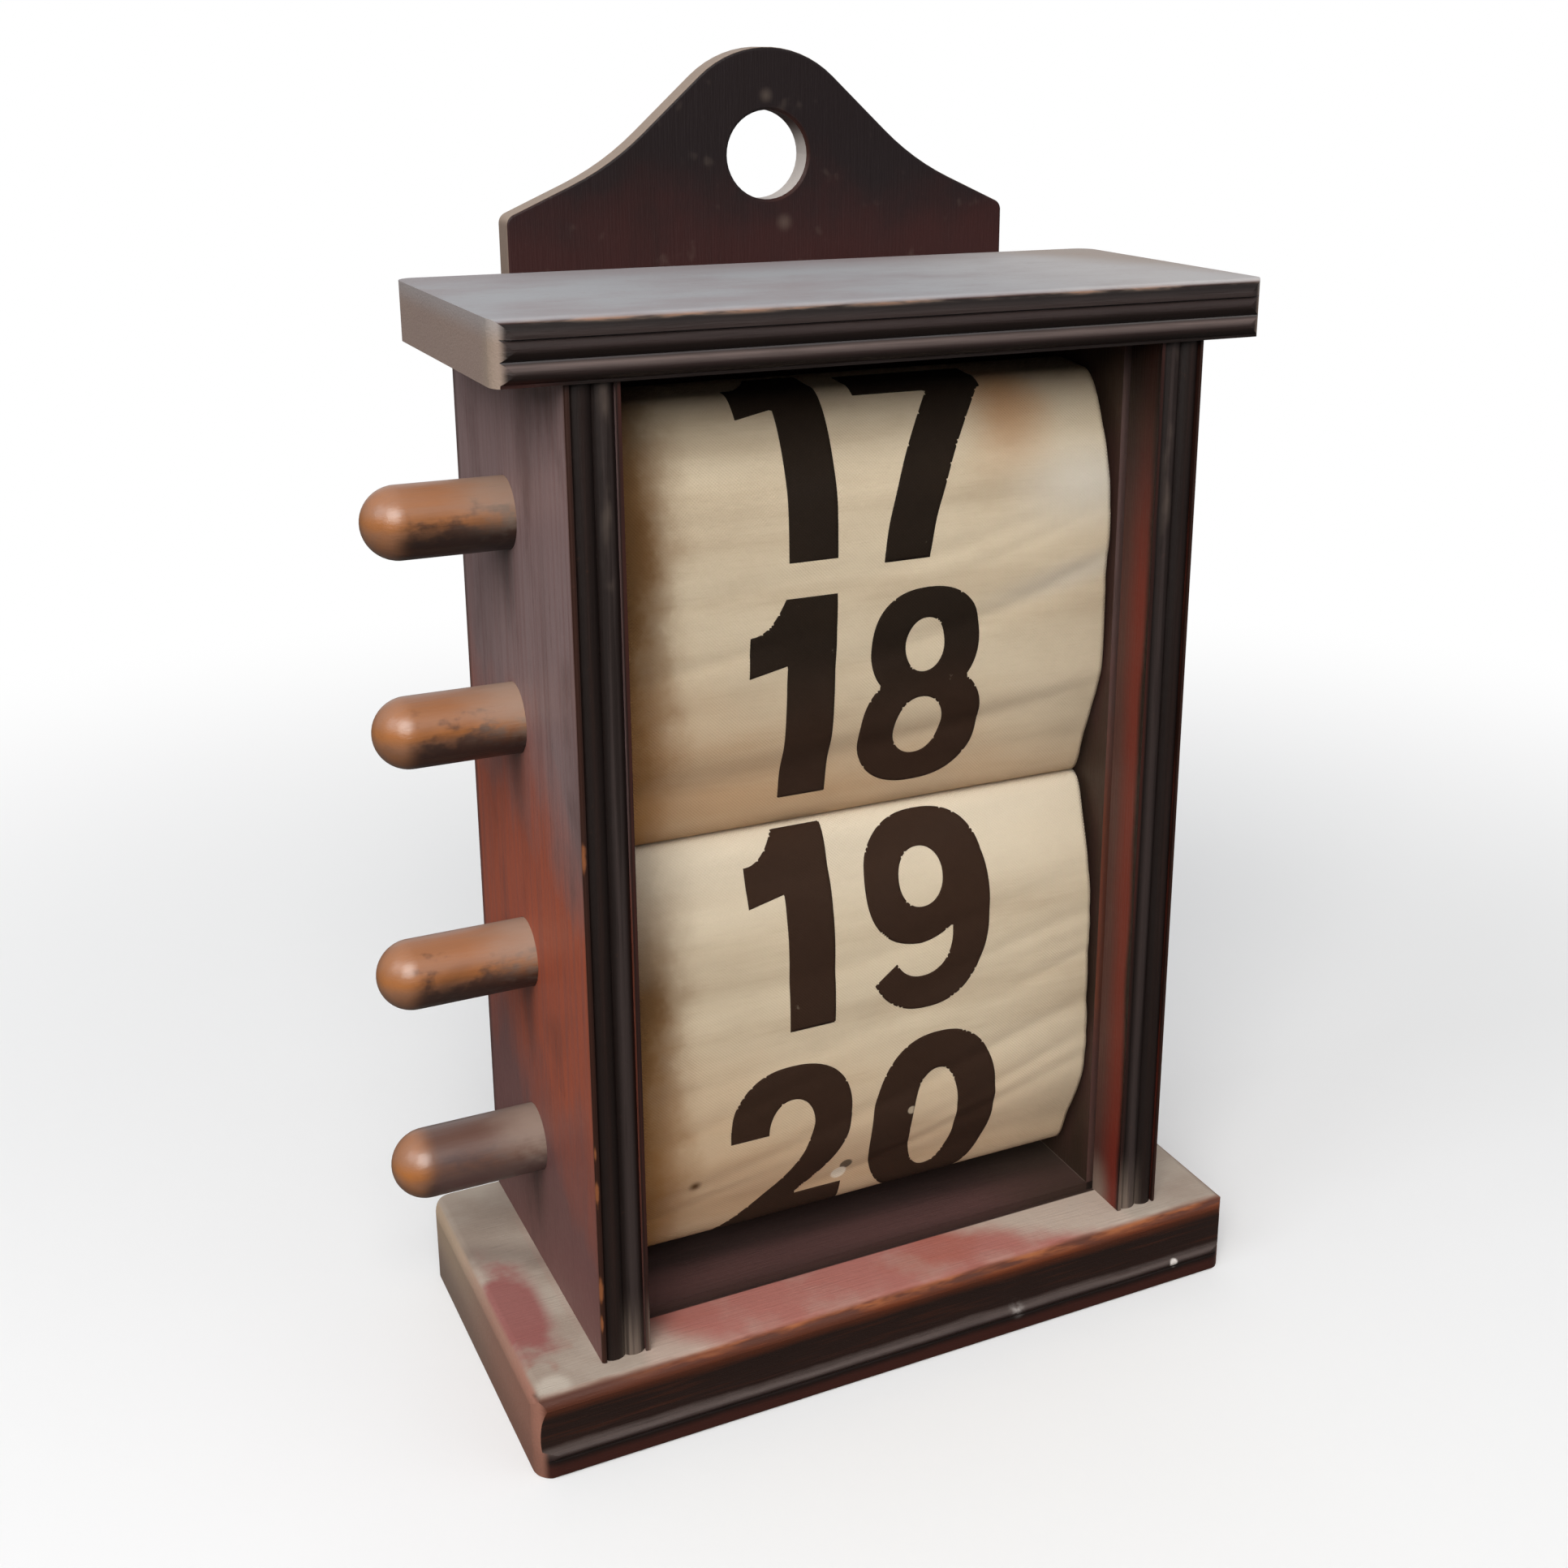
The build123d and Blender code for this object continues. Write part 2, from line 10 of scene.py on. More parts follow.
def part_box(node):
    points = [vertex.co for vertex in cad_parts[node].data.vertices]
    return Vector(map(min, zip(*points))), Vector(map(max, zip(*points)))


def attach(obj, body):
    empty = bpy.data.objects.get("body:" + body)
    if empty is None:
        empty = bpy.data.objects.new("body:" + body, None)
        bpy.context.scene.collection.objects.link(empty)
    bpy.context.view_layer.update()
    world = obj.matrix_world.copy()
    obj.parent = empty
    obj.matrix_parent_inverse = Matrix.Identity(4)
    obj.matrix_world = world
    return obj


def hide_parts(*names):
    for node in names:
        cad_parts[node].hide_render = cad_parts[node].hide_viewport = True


# Finishes, linen and light for the perpetual desk calendar. Everything is in the frame of
# the packed model: metres, X across the front, Y from the front to the back, Z up.

bl_info = {
    "name": "Perpetual desk calendar",
    "version": (1, 0, 0),
    "blender": (4, 5, 0),
    "location": "View3D > Sidebar > Calendar",
    "description": "Woods, number bands, printed numbers and stage of a desk calendar",
    "category": "Object",
}

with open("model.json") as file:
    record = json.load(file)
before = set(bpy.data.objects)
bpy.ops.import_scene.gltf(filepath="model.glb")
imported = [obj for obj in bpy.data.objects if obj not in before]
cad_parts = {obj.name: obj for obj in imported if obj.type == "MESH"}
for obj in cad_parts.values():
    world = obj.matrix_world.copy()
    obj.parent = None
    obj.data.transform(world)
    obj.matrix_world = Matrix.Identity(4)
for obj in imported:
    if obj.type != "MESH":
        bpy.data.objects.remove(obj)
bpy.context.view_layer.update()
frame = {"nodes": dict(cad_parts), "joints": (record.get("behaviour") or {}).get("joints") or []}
MM = 0.001

ROLLERS = ("upper_top_roller", "upper_bottom_roller", "lower_top_roller", "lower_bottom_roller")
# Where each joint lies, in metres, and the axis of each roller, as its Y and Z in millimetres.
PLACES = {joint["child"]: joint["pos_m"] for joint in frame["joints"]}
AXES = {roller: (PLACES[roller][1] / MM, PLACES[roller][2] / MM) for roller in ROLLERS}


def colour(name, description, *shades):
    """A colour property. Its default is the linear colour of three display values from 0 to
    255: each share of 255, to the power 2.4 past the display curve's straight foot."""
    parts = [shade / 255 for shade in shades]
    value = [s / 12.92 if s <= 0.04045 else ((s + 0.055) / 1.055) ** 2.4 for s in parts]
    return bpy.props.FloatVectorProperty(
        name=name, description=description, subtype="COLOR", size=3, min=0, max=1, default=value
    )


def length(name, description, value):
    """A length property in metres, its default given in millimetres."""
    return bpy.props.FloatProperty(
        name=name, description=description, subtype="DISTANCE", unit="LENGTH", default=value * MM
    )


def share(name, description, value, highest=1):
    """A plain number property from 0 up to its highest value."""
    return bpy.props.FloatProperty(
        name=name, description=description, min=0, max=highest, default=value
    )


class CalendarLinen(bpy.types.PropertyGroup):
    """Sizes of the number bands and of their stored turns."""

    thickness: length("Thickness", "Thickness of the visible linen", 0.5)
    spacing: length("Mesh spacing", "Distance between the linen's mesh lines", 0.8)
    left_edge: length("Left edge", "Place of the linen's left edge across the case", -46.1)
    right_edge: length("Right edge", "Place of the linen's right edge across the case", 48.7)
    edge_wander: length("Edge wander", "How far the right edge strays from a line", 0.7)
    crease_depth: share("Crease depth", "Share of full depth that the creases have", 0.62, 3)
    stored_radius: length("Stored radius", "Outer radius of the stored turns", 17.6)
    stored_pitch: length("Stored pitch", "Distance from one stored turn to the next", 0.5)
    stored_thickness: length("Stored thickness", "Thickness of the wound linen", 0.42)


class CalendarNumbers(bpy.types.PropertyGroup):
    """Sizes of the printed numbers."""

    height: length("Height", "Height of the numbers", 39.2)
    spacing: length("Mesh spacing", "Distance between the mesh lines of the ink", 0.4)
    ink: length("Ink", "Thickness of the ink", 0.06)


class CalendarColours(bpy.types.PropertyGroup):
    """Colours of the calendar's woods, linen, ink, metal and glass."""

    # Dark stain in the hollows; also laid on as painted shade in grooves, corners, undersides and
    # under the cap.
    dark_stain_and_shade: colour("Dark wood", "Stain in the hollows of the mouldings", 22, 12, 9)
    mould_wood: colour("Moulding wood", "Stain on the mouldings", 44, 32, 30)
    # Stain on the reeds, laid on as the painted highlight of their lit faces.
    reed_stain_and_highlight: colour("Stile wood", "Stain on the reeds beside the glass", 52, 42, 40)
    # Painted highlight on the base's bead.
    bead_highlight: colour("Bead wood", "Dull polish on the beads that catch the light", 80, 68, 64)
    burnt_wood: colour("Burnt wood", "Scorched brown under the worn edges", 104, 50, 27)
    fascia_wood: colour("Fascia wood", "Dark red-brown along the foot of the base", 56, 26, 20)
    cove_wood: colour("Cove wood", "Brown in the base's cove and behind the glass", 36, 22, 18)
    # Painted highlight on the lit half of the cap's lower reed.
    lower_reed_highlight: colour("Reed wood", "Lit half of the cap's lower reed", 98, 84, 80)
    foot_wood: colour("Foot wood", "Foot of the side panels", 112, 76, 73)
    # Painted shade on the side panels' strip, deeper in towards the glass.
    strip_shade_wood: colour("Dim wood", "Side panels just before the glass", 82, 50, 44)
    raw_wood: colour("Raw wood", "Unpolished wood of the faces turned to the wall", 146, 98, 74)
    red_wood: colour("Red wood", "Worn red-brown boards", 160, 80, 56)
    brick_wood: colour("Brick wood", "Brick red edge before the glass", 112, 42, 31)
    # Faded purple-grey, laid on partly as painted sheen on the side panels and as painted
    # reflection on the cap.
    plum_and_sheen_wood: colour("Plum wood", "Faded purple-grey boards", 133, 111, 110)
    shade_wood: colour("Shade wood", "Dark brown clouds and lines in the boards", 66, 44, 38)
    dull_wood: colour("Dull wood", "Purple-brown wood under a film of dirt", 84, 64, 60)
    pink_wood: colour("Pink wood", "Sheltered wood in front of the glass", 168, 108, 99)
    crimson_wood: colour("Crimson wood", "Rubbed patch beside the case", 144, 76, 74)
    bare_wood: colour("Bare wood", "Orange-brown wood where an edge has worn", 178, 110, 66)
    back_wood: colour("Back wood", "Dark maroon of the back board", 25, 15, 16)
    dust: colour("Dust", "Dust on the faces that look up", 186, 174, 160)
    # Dust on the cap, laid on partly as painted reflection on its top.
    cool_dust_and_reflection: colour("Cool dust", "Bluish grey dust on the cap", 160, 160, 163)
    warm_dust: colour("Warm dust", "Dust in the corners", 152, 134, 120)
    sand_dust: colour("Sand dust", "Dust on the base's ends", 182, 158, 132)
    olive_dirt: colour("Olive dirt", "Dirt inside the case", 52, 40, 29)
    # Worn spots and the rubbed hole; also a painted reflection that brightens the cap's top to the
    # right.
    pale_wear_and_reflection: colour("Pale mark", "Worn spots and the rubbed hole", 214, 206, 200)
    honey: colour("Honey", "Knobs polished by handling", 154, 108, 80)
    # Honey, amber and dark honey lie on the knobs partly as painted light and shade, by height.
    amber: colour("Amber", "Warmer streaks in the knobs", 172, 104, 42)
    dark_honey: colour("Dark honey", "Dirt on the knobs", 58, 30, 16)
    linen: colour("Linen", "Cream linen", 216, 199, 172)
    # Bleached linen; also laid on as painted light on the lower band's top.
    pale_linen_and_highlight: colour("Pale linen", "Bleached linen", 224, 212, 192)
    # Bleached, greyer linen; also laid on as painted highlight on the upper band's ridges.
    cool_linen_and_highlight: colour("Cool linen", "Bleached, greyer linen", 214, 206, 192)
    # Stain and tide mark also lie as painted shadow on the linen's left strip; the tide mark also
    # lies as painted shade at the upper band's top left.
    stain: colour("Stain", "Brown stain on the linen", 124, 88, 48)
    tide_mark_and_shade: colour("Tide mark", "Dark brown edges of the stains", 84, 56, 28)
    # Orange-brown tint of the linen; also laid on as painted shade at the upper band's top and
    # foot.
    rust: colour("Rust", "Orange-brown tint of the linen", 184, 132, 80)
    ink: colour("Ink", "Printed numbers", 23, 19, 16)
    brown_ink: colour("Brown ink", "Faded printed numbers", 46, 31, 24)
    steel: colour("Steel", "Screws, brads, pins and tacks", 128, 124, 120)
    glass: colour("Glass", "Haze on the glass", 120, 104, 94)
    floor: colour("Floor", "Pale floor", 239, 239, 239)


class CalendarStage(bpy.types.PropertyGroup):
    """Camera and light."""

    lens: bpy.props.FloatProperty(
        name="Lens", description="Focal length in millimetres", min=10, max=200, default=44.655
    )
    world: share("World", "Strength of the even light from above", 0.4, 5)
    key: share("Key", "Power of the large light at the upper left, in watts", 22, 500)
    side: share("Side", "Power of the soft light from the left, in watts", 5, 500)
    fill: share("Fill", "Power of the soft light from the front right, in watts", 1.5, 500)
    rear: share("Rear", "Power of the soft light from behind, in watts", 1.3, 500)


def maths(operation, turned=False):
    """A method that adds the Math node of an operation; turned puts the other value first."""

    def apply(wire, *others):
        values = [*others, wire] if turned else [wire, *others]
        return wire.tree.node("Math", {"operation": operation}, values)

    return apply


class Wire:
    """A shader value that takes part in arithmetic: each operator adds its Math node."""

    __add__ = __radd__ = maths("ADD")
    __mul__ = __rmul__ = maths("MULTIPLY")
    __sub__, __rsub__ = maths("SUBTRACT"), maths("SUBTRACT", turned=True)
    __truediv__ = maths("DIVIDE")
    __abs__ = maths("ABSOLUTE")
    least, most, sine = maths("MINIMUM"), maths("MAXIMUM"), maths("SINE")

    def __init__(self, tree, socket):
        self.tree = tree
        self.socket = socket

    def __neg__(self):
        return self * -1

    def rise(self, low, high):
        """0 below low and 1 above high, with a smooth step between them."""
        sockets = {"Value": self, "From Min": low, "From Max": high}
        return self.tree.node("MapRange", {"interpolation_type": "SMOOTHSTEP"}, sockets)

    def fall(self, low, high):
        """1 below low and 0 above high, with a smooth step between them."""
        return 1 - self.rise(low, high)

    def near(self, middle, reach):
        """1 at the middle value, falling smoothly to 0 at the reach on both sides."""
        return abs(self - middle).fall(0, reach)


class Nodes:
    """A node tree with its output: methods add nodes and give back wires."""

    def __init__(self, owner, output):
        owner.use_nodes = True
        self.tree = owner.node_tree
        self.tree.nodes.clear()
        self.output = self.tree.nodes.new("ShaderNode" + output)

    def node(self, kind, settings=None, sockets=None, output=0):
        """Adds a node: its settings first, then its sockets, by name or in order. Gives back
        one of its outputs."""
        node = self.tree.nodes.new("ShaderNode" + kind)
        for name, value in (settings or {}).items():
            setattr(node, name, value)
        pairs = sockets.items() if isinstance(sockets, dict) else enumerate(sockets or ())
        for name, value in pairs:
            self.feed(node.inputs[name], value)
        return Wire(self, node.outputs[output])

    def feed(self, socket, value):
        """Gives a socket a wire, a value or a palette colour by its name."""
        value = tint(value)
        if isinstance(value, Wire):
            self.tree.links.new(value.socket, socket)
        elif socket.type == "RGBA" and len(value) == 3:
            socket.default_value = (*value, 1)
        else:
            socket.default_value = value

    def finish(self, shader):
        """Links the last shader to the output."""
        self.feed(self.output.inputs["Surface"], shader)

    def vector(self, operation, *values, output=0):
        """The result of a vector operation."""
        return self.node("VectorMath", {"operation": operation}, values, output)

    def mix(self, tone, *layers):
        """A tone with others laid over it in turn, each a colour and its share."""
        for other, amount in zip(layers[::2], layers[1::2]):
            sockets = {0: amount, 6: tone, 7: other}
            tone = self.node("Mix", {"data_type": "RGBA"}, sockets, output=2)
        return tone

    def place(self):
        """Where a point lies on the object, as a vector in millimetres."""
        return self.scaled(self.node("TexCoord", output="Object"), 1 / MM)

    def scaled(self, vector, factor):
        """A vector times one factor."""
        sockets = {"Vector": vector, "Scale": factor}
        return self.node("VectorMath", {"operation": "SCALE"}, sockets)

    def parts(self, vector):
        """The three parts of a vector, as wires."""
        first = self.node("SeparateXYZ", None, [vector])
        outputs = first.socket.node.outputs
        return first, Wire(self, outputs[1]), Wire(self, outputs[2])

    def stretched(self, vector, factors):
        """A vector with each of its parts multiplied by its own factor."""
        return self.vector("MULTIPLY", vector, factors)

    def noise(self, vector, factors, detail=3, roughness=0.5, offset=0, distortion=0):
        """Fractal noise from 0 to 1, each factor being the waves per millimetre that way."""
        moved = self.vector("ADD", self.stretched(vector, factors), (offset,) * 3)
        sockets = {"Vector": moved, "Scale": 1, "Detail": detail, "Roughness": roughness}
        return self.node("TexNoise", None, {**sockets, "Distortion": distortion})

    def spot(self, vector, centre, radius):
        """1 at a point of the object, falling smoothly to 0 at the radius from it."""
        return self.vector("DISTANCE", vector, centre, output="Value").fall(0, radius)

    def marks(self, vector, *places):
        """The largest of several spots, each given by its centre and its radius."""
        found = [self.spot(vector, centre, radius) for centre, radius in places]
        return functools.reduce(Wire.most, found)

    def tones(self, value, *stops):
        """Colours along a value: each stop is a value and its colour, blended in between."""
        low, high = stops[0][0], stops[-1][0]
        ramp = self.node("ValToRGB", None, [(value - low) / (high - low)])
        elements = ramp.socket.node.color_ramp.elements
        while len(elements) < len(stops):
            elements.new(1)
        for element, (at, tone) in zip(elements, stops):
            element.position = (at - low) / (high - low)
            element.color = (*tint(tone), 1)
        return ramp


class Finish(Nodes):
    """One procedural material: a tone that is built up in coats on a Principled shader."""

    tone = None

    def __init__(self, name, **constants):
        self.material = bpy.data.materials.new(name)
        super().__init__(self.material, "OutputMaterial")
        self.shader = self.tree.nodes.new("ShaderNodeBsdfPrincipled")
        self.finish(Wire(self, self.shader.outputs["BSDF"]))
        for socket, value in constants.items():
            self.set(socket.replace("_", " ").title().replace("Ior", "IOR"), value)

    def set(self, socket, value):
        """Gives one of the shader's own sockets a wire or a value."""
        self.feed(self.shader.inputs[socket], value)

    def coat(self, tone, amount):
        """Lays a palette colour or another tone over the material's own tone."""
        self.tone = self.mix(self.tone, tone, amount)

    def done(self, height, distance, roughness=None):
        """Sets the colour, the roughness and a bump of this height, whose value 1 is the
        distance in metres. Gives back the material."""
        self.set("Base Color", self.tone)
        if roughness:
            self.set("Roughness", roughness)
        sockets = {"Height": height, "Distance": distance}
        self.set("Normal", self.node("Bump", None, sockets))
        return self.material


def tint(value):
    """A colour of the palette by its name. Anything else is left as it is."""
    return getattr(bpy.context.scene.calendar_colours, value) if isinstance(value, str) else value


def corners(node):
    """The lowest and highest corner of a CAD node, in millimetres."""
    return tuple([float(value) / MM for value in corner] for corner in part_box(node))


def grain(finish, spot, along):
    """Two layers of stretched noise: broad figure and fine pores that run along one axis."""
    broad = [0.12, 0.12, 0.12]
    fine = [2.2, 2.2, 2.2]
    broad[along] = 0.012
    fine[along] = 0.1
    figure = finish.noise(spot, broad, detail=4, roughness=0.6, distortion=0.6)
    pores = finish.noise(spot, fine, detail=3, roughness=0.7, offset=7)
    return figure, pores


def raw_wood(finish, figure, pores, clouds):
    """Unpolished wood of the faces turned to the wall: brown with dark figure and dust."""
    return finish.mix(
        "raw_wood",
        "shade_wood", figure.rise(0.38, 0.66) * 0.75,
        "dark_stain_and_shade", pores.rise(0.5, 0.8) * 0.4,
        "warm_dust", clouds.rise(0.45, 0.75) * 0.3,
    )


def board(name, along, specular=0.3):
    """A wood finish, with where a point lies, which way it faces, and its grain along an axis."""
    f = Finish(name, specular_ior_level=specular)
    spot = f.place()
    facing = f.node("TexCoord", output="Normal")
    return f, spot, f.parts(spot), f.parts(facing), grain(f, spot, along)


def dress(node, material):
    """Gives a CAD node its material."""
    item = frame["nodes"][node]
    item.data.materials.clear()
    item.data.materials.append(material)


def base_board_finish():
    """Base: dusty top, pink strip before the glass, burnt and chipped front edge that darkens into
    the cove, grey bead with a painted highlight and painted shade in the groove under it, dark
    fascia and pale dirty ends; painted shade in the inner corner by the left stile and a painted
    highlight on the top's front left corner."""
    f, spot, (x, y, z), (aside, forward, up), (figure, pores) = board("base_mahogany", 0)
    low, high = corners("base_board")
    front, top = low[1], high[2]
    case_side = corners("right_side_panel")[1][0]
    inner = corners("right_side_panel")[0][0]
    glass_front, glass_back = (corner[1] for corner in corners("glass_pane"))
    clouds = f.noise(spot, (0.05, 0.07, 0.07), 4, 0.6, offset=3)
    patches = f.noise(spot, (0.11, 0.11, 0.11), 3, 0.55, offset=41)
    specks = f.noise(spot, (0.6, 0.6, 0.6), 2, offset=11)
    chips = f.noise(spot, (0.09, 0.5, 0.5), 3, 0.6, offset=23)

    down = top - z + (clouds - 0.5) * 1.6
    # Down the front: burnt arris into a brown cove, a painted highlight on the bead and painted
    # shade in the groove under it, then the dark fascia.
    f.tone = f.tones(
        down, (0, "burnt_wood"), (1.3, "burnt_wood"), (4.4, "cove_wood"),
        (10.2, "cove_wood"), (11, "bead_highlight"), (12, "mould_wood"),
        (12.8, "dark_stain_and_shade"), (14, "fascia_wood"),
    )
    upper = down.fall(0.6, 3.6)
    corner = x.fall(-66, -30)
    f.coat("shade_wood", (chips.fall(0.36, 0.58) * 0.6).most(corner * 0.7) * upper)
    glow = chips.rise(0.4, 0.66) * (1 - corner) * down.fall(-0.2, 1.9)
    f.coat("bare_wood", glow * 0.75)
    streaks = f.noise(spot, (0.05, 1.2, 1.2), 3, offset=2).rise(0.5, 0.75)
    f.coat("burnt_wood", streaks * down.rise(1, 3) * down.fall(8, 12) * 0.18)
    f.coat("dark_stain_and_shade", y.rise(front + 2.8, front + 3.4))
    speck = f.spot(spot, (60.3, front, 4.4), 1.6).rise(0.2, 0.7)
    faint = f.spot(spot, (23.6, front, 5), 2.4) * specks.rise(0.3, 0.7)
    f.coat("pale_wear_and_reflection", (speck * 0.9).most(faint * 0.4))

    end_dust = 0.45 + 0.5 * (y + (clouds - 0.5) * 24).rise(-38, 34)
    end_tone = f.mix(
        "red_wood",
        "warm_dust", end_dust,
        "sand_dust", y.rise(-10, 30) * z.rise(4, 14) * 0.7,
        "dark_stain_and_shade", (top - z).rise(6, 15) * 0.25 + 0.1 * pores,
    )
    rounded = abs(aside).rise(0.15, 0.5) * y.rise(front + 2, front + 5)
    turned = abs(aside).rise(0.45, 0.8).most(rounded)
    f.coat(end_tone, turned)
    f.coat(raw_wood(f, figure, pores, clouds), forward.most(-up).rise(0.5, 0.85))

    pink = f.mix(
        "pink_wood",
        "red_wood", clouds.rise(0.45, 0.75) * 0.4,
        "dust", patches.rise(0.45, 0.75) * 0.25,
    )
    lighter = (y - glass_back - 4).near(0, 9) * 0.35 + 0.1 * figure.rise(0.3, 0.8)
    floor_tone = f.mix(
        "cove_wood",
        "foot_wood", lighter * 1.2,
        "olive_dirt", (x + (patches - 0.5) * 20).rise(20, 46) * 0.6,
    )
    left = x.fall(-case_side, -case_side + 1)
    worn = (x.near(-68.5, 8) * (y + (patches - 0.5) * 26).near(-7, 21)).rise(0, 0.55)
    grey = (y + (clouds - 0.5) * 12 + (x + 66) * 0.6).near(10, 9) * 0.75
    mottled = (y + 22).fall(-6, 4) * patches.rise(0.42, 0.7) * 0.5
    side_tone = f.mix(
        "dust",
        "warm_dust", 0.25 + 0.6 * clouds.rise(0.25, 0.75),
        "red_wood", patches.rise(0.52, 0.66) * y.fall(-30, -16) * left * 0.45,
        "shade_wood", (grey * 0.55 + mottled * 0.3) * left,
        "crimson_wood", worn * left * 0.85,
    )
    before = y - glass_front
    by_left = (x + inner + 4 + (patches - 0.5) * 9 + before * 1.2).fall(-6, 6)
    by_right = (x + (patches - 0.5) * 14 + before * 1.77).rise(8, 25)
    front_tone = f.mix(pink, "dust", (by_left * 0.75).most(by_right * 0.85))
    beside = abs(x).rise(case_side - 0.5, case_side + 1.5).most((abs(x) - inner).rise(0, 3) * 0.9)
    top_tone = f.mix(front_tone, side_tone, beside)
    between = (abs(x) - inner).fall(-0.2, 0.3)
    behind = between * y.rise(glass_back - 2.4, glass_back - 1)
    # Painted shade in the inner corner beside the left stile, just before the glass.
    nook_shade = f.spot(spot, (-inner, glass_front + 1, top), 10)
    top_tone = f.mix(
        top_tone,
        "dark_stain_and_shade", nook_shade * 0.8,
        floor_tone, behind,
        # Painted highlight on the rounded front left corner of the top, in the dust colour.
        "dust", (x.near(-68.5, 5) * y.near(-31.5, 5)).rise(0.1, 0.7),
    )
    brim = (y - front + (chips - 0.5) * 2.2).fall(1.2, 3)
    top_tone = f.mix(top_tone, "burnt_wood", brim * 0.7)
    f.coat(top_tone, up.rise(0.75, 0.97) * z.rise(top - 2, top - 1))
    groove = y.near((glass_front + glass_back) / 2, 2.2).rise(0, 0.1) * between
    f.coat(floor_tone, groove * z.rise(top - 6, top - 5))
    f.coat("dark_stain_and_shade", pores.rise(0.62, 0.8) * 0.3)
    rough = 0.4 + 0.35 * up.rise(0.55, 0.85) + 0.12 * (clouds - 0.5) + 0.1 * specks
    return f.done(pores * 0.5 + figure * 0.3 + specks * 0.2, 0.0002, rough)


def cap_board_finish():
    """Cap: bluish grey top of dust and painted reflection, patchy worn front edge, dark reeds with
    painted highlights on their upper halves and painted shade below them, and dirty brown ends."""
    f, spot, (x, y, z), (aside, forward, up), (figure, pores) = board("cap_mahogany", 0)
    low, high = corners("cap_board")
    clouds = f.noise(spot, (0.03, 0.06, 0.06), 4, 0.6, offset=5)
    specks = f.noise(spot, (0.8, 0.8, 0.8), 2, offset=17)
    chips = f.noise(spot, (0.09, 0.5, 0.5), 3, 0.6, offset=29)
    streaks = f.noise(spot, (0.06, 1, 1), 3, 0.6, offset=4)

    down = high[2] - z
    # Bands down the front paint light and shade on the profile: dark under the arris, a painted
    # highlight on the upper reed, painted shade in the groove, a painted highlight on the lower
    # reed and painted shade along the foot.
    f.tone = f.tones(
        down, (0, "burnt_wood"), (0.8, "dark_stain_and_shade"), (1.4, "dark_stain_and_shade"),
        (2.4, "reed_stain_and_highlight"), (4.4, "mould_wood"), (5.2, "dark_stain_and_shade"),
        (6.5, "dark_stain_and_shade"), (7.1, "lower_reed_highlight"), (8.2, "mould_wood"), (9, "dark_stain_and_shade"),
    )
    f.coat("warm_dust", chips.rise(0.42, 0.66) * down.fall(0.3, 1.3) * 0.75)
    f.coat("bare_wood", chips.rise(0.52, 0.66) * down.fall(0.4, 1.2) * 0.35)
    f.coat("dark_stain_and_shade", streaks.rise(0.45, 0.7) * 0.3)
    red_patch = x.near(-66, 10) * down.rise(8.8, 9.6)
    f.coat("brick_wood", red_patch * 0.12)
    pale = (y - low[1]).near(2.5, 5.5)
    end_tone = f.mix(
        "plum_and_sheen_wood",
        "warm_dust", 0.45 + 0.3 * clouds + 0.4 * pale,
        "cool_dust_and_reflection", down.fall(0, 4) * 0.5,
    )
    rounded = abs(aside).rise(0.15, 0.5) * y.rise(low[1] + 2, low[1] + 5)
    turned = abs(aside).rise(0.35, 0.75).most(rounded)
    f.coat(end_tone, turned)
    f.coat(raw_wood(f, figure, pores, clouds), forward.rise(0.5, 0.85))
    # The grey of the top is dust and painted reflection: brighter to the right, dimmer at the rear
    # left.
    dusty = f.mix(
        "plum_and_sheen_wood",
        "cool_dust_and_reflection", 0.6 + 0.4 * clouds.rise(0.25, 0.65),
        "pale_wear_and_reflection", (x + (clouds - 0.5) * 40).rise(0, 60) * 0.3,
        "warm_dust", (x + y * 0.5).rise(52, 72) * 0.6,
    )
    weaker_reflection = (y + (clouds - 0.5) * 16).rise(10, 26) * x.fall(20, 60) * 0.35
    dusty = f.mix(
        dusty,
        "plum_and_sheen_wood", weaker_reflection,
        "warm_dust", specks.rise(0.6, 0.8) * 0.25,
    )
    f.coat(dusty, up.rise(0.7, 0.96))
    f.coat("dark_stain_and_shade", pores.rise(0.62, 0.8) * 0.3)
    rough = 0.42 + 0.3 * up.rise(0.5, 0.85) + 0.1 * (clouds - 0.5) + 0.1 * specks
    return f.done(pores * 0.5 + figure * 0.3 + specks * 0.2, 0.0002, rough)


